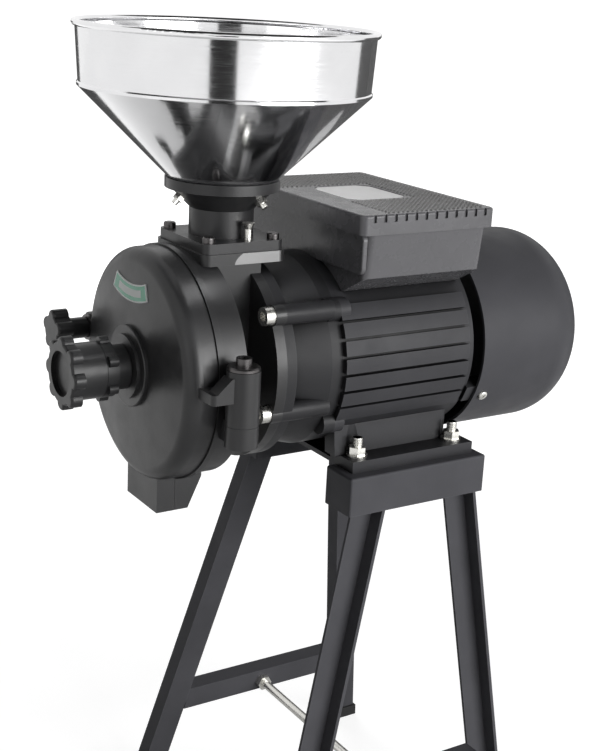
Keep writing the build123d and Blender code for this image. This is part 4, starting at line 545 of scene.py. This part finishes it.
# Camera
back = Vector((sin(AZIMUTH) * cos(ELEVATION), -cos(AZIMUTH) * cos(ELEVATION), sin(ELEVATION)))
level = Vector((cos(AZIMUTH), sin(AZIMUTH), 0.0))
upright = back.cross(level)
right = cos(ROLL) * level + sin(ROLL) * upright
up = -sin(ROLL) * level + cos(ROLL) * upright
lens = bpy.data.cameras.new("camera")
lens.sensor_fit = "HORIZONTAL"
lens.sensor_width = SENSOR_MM
lens.lens = SENSOR_MM * FOCAL_PX / WIDTH
lens.shift_x = -AXIS_OFFSET[0] / WIDTH
lens.shift_y = -AXIS_OFFSET[1] / WIDTH
lens.clip_end = 50.0
camera = bpy.data.objects.new("camera", lens)
turn = Matrix((right, up, back)).transposed().to_4x4()
camera.matrix_world = Matrix.Translation(TARGET + DISTANCE * back) @ turn
scene.collection.objects.link(camera)
scene.camera = camera

# Studio
scene.view_settings.view_transform = "Standard"


def aim_at(thing, spot, aim):
    """Puts a thing at a spot and turns its -Z side to a place."""
    thing.location = spot
    thing.rotation_euler = (Vector(aim) - Vector(spot)).to_track_quat("-Z", "Y").to_euler()
    scene.collection.objects.link(thing)


def panel_light(name, spot, size, power, aim=(0, 0, 0.45)):
    """Large soft box that points at the machine."""
    data = bpy.data.lights.new(name, "AREA")
    data.shape = "RECTANGLE"
    data.size, data.size_y = size
    data.energy = power
    lamp = bpy.data.objects.new(name, data)
    aim_at(lamp, spot, aim)
    return lamp


def flag(name, spot, aim, size, shades=True, tone=0.025):
    """Dark card that shows in reflections and, if it shades, holds off the world's light."""
    mesh = bpy.data.meshes.new(name)
    w, h = size[0] / 2, size[1] / 2
    mesh.from_pydata([(-w, -h, 0), (w, -h, 0), (w, h, 0), (-w, h, 0)], [], [(0, 1, 2, 3)])
    card = bpy.data.objects.new(name, mesh)
    aim_at(card, spot, aim)
    card.visible_camera = False
    card.visible_shadow = False
    card.visible_diffuse = shades
    material, tree, bsdf = start(name, Roughness=0.9)
    grey = (tone, tone, tone)
    cloth = blend(tree, noise(tree, scale=4.0), tint(grey, 0.8), tint(grey, 1.2))
    feed(tree, bsdf, Base_Color=cloth)
    mesh.materials.append(material)


def white_world(shown=1.12, other=0.07):
    """White for the camera and in reflections, and faint for all other light."""
    world = bpy.data.worlds.new("studio")
    world.use_nodes = True
    scene.world = world
    tree = world.node_tree
    background = tree.nodes["Background"]
    background.inputs["Color"].default_value = (1, 1, 1, 1)
    rays = tree.nodes.new("ShaderNodeLightPath").outputs
    seen = calc(tree, "MAXIMUM", rays["Is Camera Ray"], rays["Is Transmission Ray"])
    glossy = spread(tree, rays["Is Glossy Ray"], other, 1.0, from_low=0.0, from_high=1.0)
    strength = calc(tree, "MAXIMUM", product(tree, seen, shown), glossy)
    tree.links.new(strength, background.inputs["Strength"])


def white_floor(size=6.0, drop=0.0005):
    """Floor that glows white for the camera and in reflections, with painted shade: it glows less
    near the machine.
    """
    floor_mesh = bpy.data.meshes.new("floor")
    shape = bmesh.new()
    bmesh.ops.create_grid(shape, x_segments=1, y_segments=1, size=size)
    shape.to_mesh(floor_mesh)
    shape.free()
    floor = bpy.data.objects.new("floor", floor_mesh)
    floor.location = (0, 0, -drop)
    scene.collection.objects.link(floor)
    material, tree, bsdf = start("floor", Roughness=0.9, Emission_Color=(1, 1, 1, 1))
    tone = blend(tree, noise(tree, scale=3.0), (0.44, 0.44, 0.44), (0.46, 0.46, 0.46))
    rays = tree.nodes.new("ShaderNodeLightPath").outputs
    reach = tree.nodes.new("ShaderNodeVectorMath")
    reach.operation = "LENGTH"
    tree.links.new(place(tree), reach.inputs[0])
    far = reach.outputs["Value"]
    # Painted shade round the machine: the glow falls off towards it, for the camera and in
    # reflections.
    reflected_glow_painted_shade = spread(tree, far, 0.25, 0.85, from_low=0.3, from_high=1.1)
    seen_glow_painted_shade = spread(tree, far, 0.8, 1.0, from_low=0.5, from_high=1.6)
    glow = calc(tree, "ADD", product(tree, rays["Is Camera Ray"], seen_glow_painted_shade),
                product(tree, rays["Is Glossy Ray"], reflected_glow_painted_shade))
    feed(tree, bsdf, Base_Color=tone, Emission_Strength=glow)
    floor_mesh.materials.append(material)


panel_light("key", spot=(1.0, -3.15, 1.1), size=(2.6, 1.8), power=118.0)
panel_light("left", spot=(-2.6, -0.6, 1.1), size=(1.3, 1.3), power=3.5)
far_side = panel_light("far_side", spot=(0.6, 3.4, 1.8), size=(2.6, 2.0), power=70.0)
far_side.visible_glossy = False

level_back = Vector((back.x, back.y, 0.0)).normalized()
past_camera = TARGET + 2.2 * level_back
past_machine = TARGET - 0.95 * level_back
flag("flag_back", spot=(past_machine.x, past_machine.y, 0.36), aim=(TARGET.x, TARGET.y, 0.36),
     size=(1.7, 0.74), shades=False, tone=0.13)
flag("flag_behind", spot=(past_camera.x, past_camera.y, 0.6), aim=(TARGET.x, TARGET.y, 0.6),
     size=(0.75, 1.2))
flag("flag_right", spot=(1.05, 0.16, 0.4), aim=(0.0, 0.0, 0.4), size=(0.45, 0.8), shades=False,
     tone=0.3)
flag("flag_above", spot=(0.1, -0.2, 2.3), aim=(0.1, -0.2, 0.0), size=(2.8, 2.8))
white_world()
white_floor()
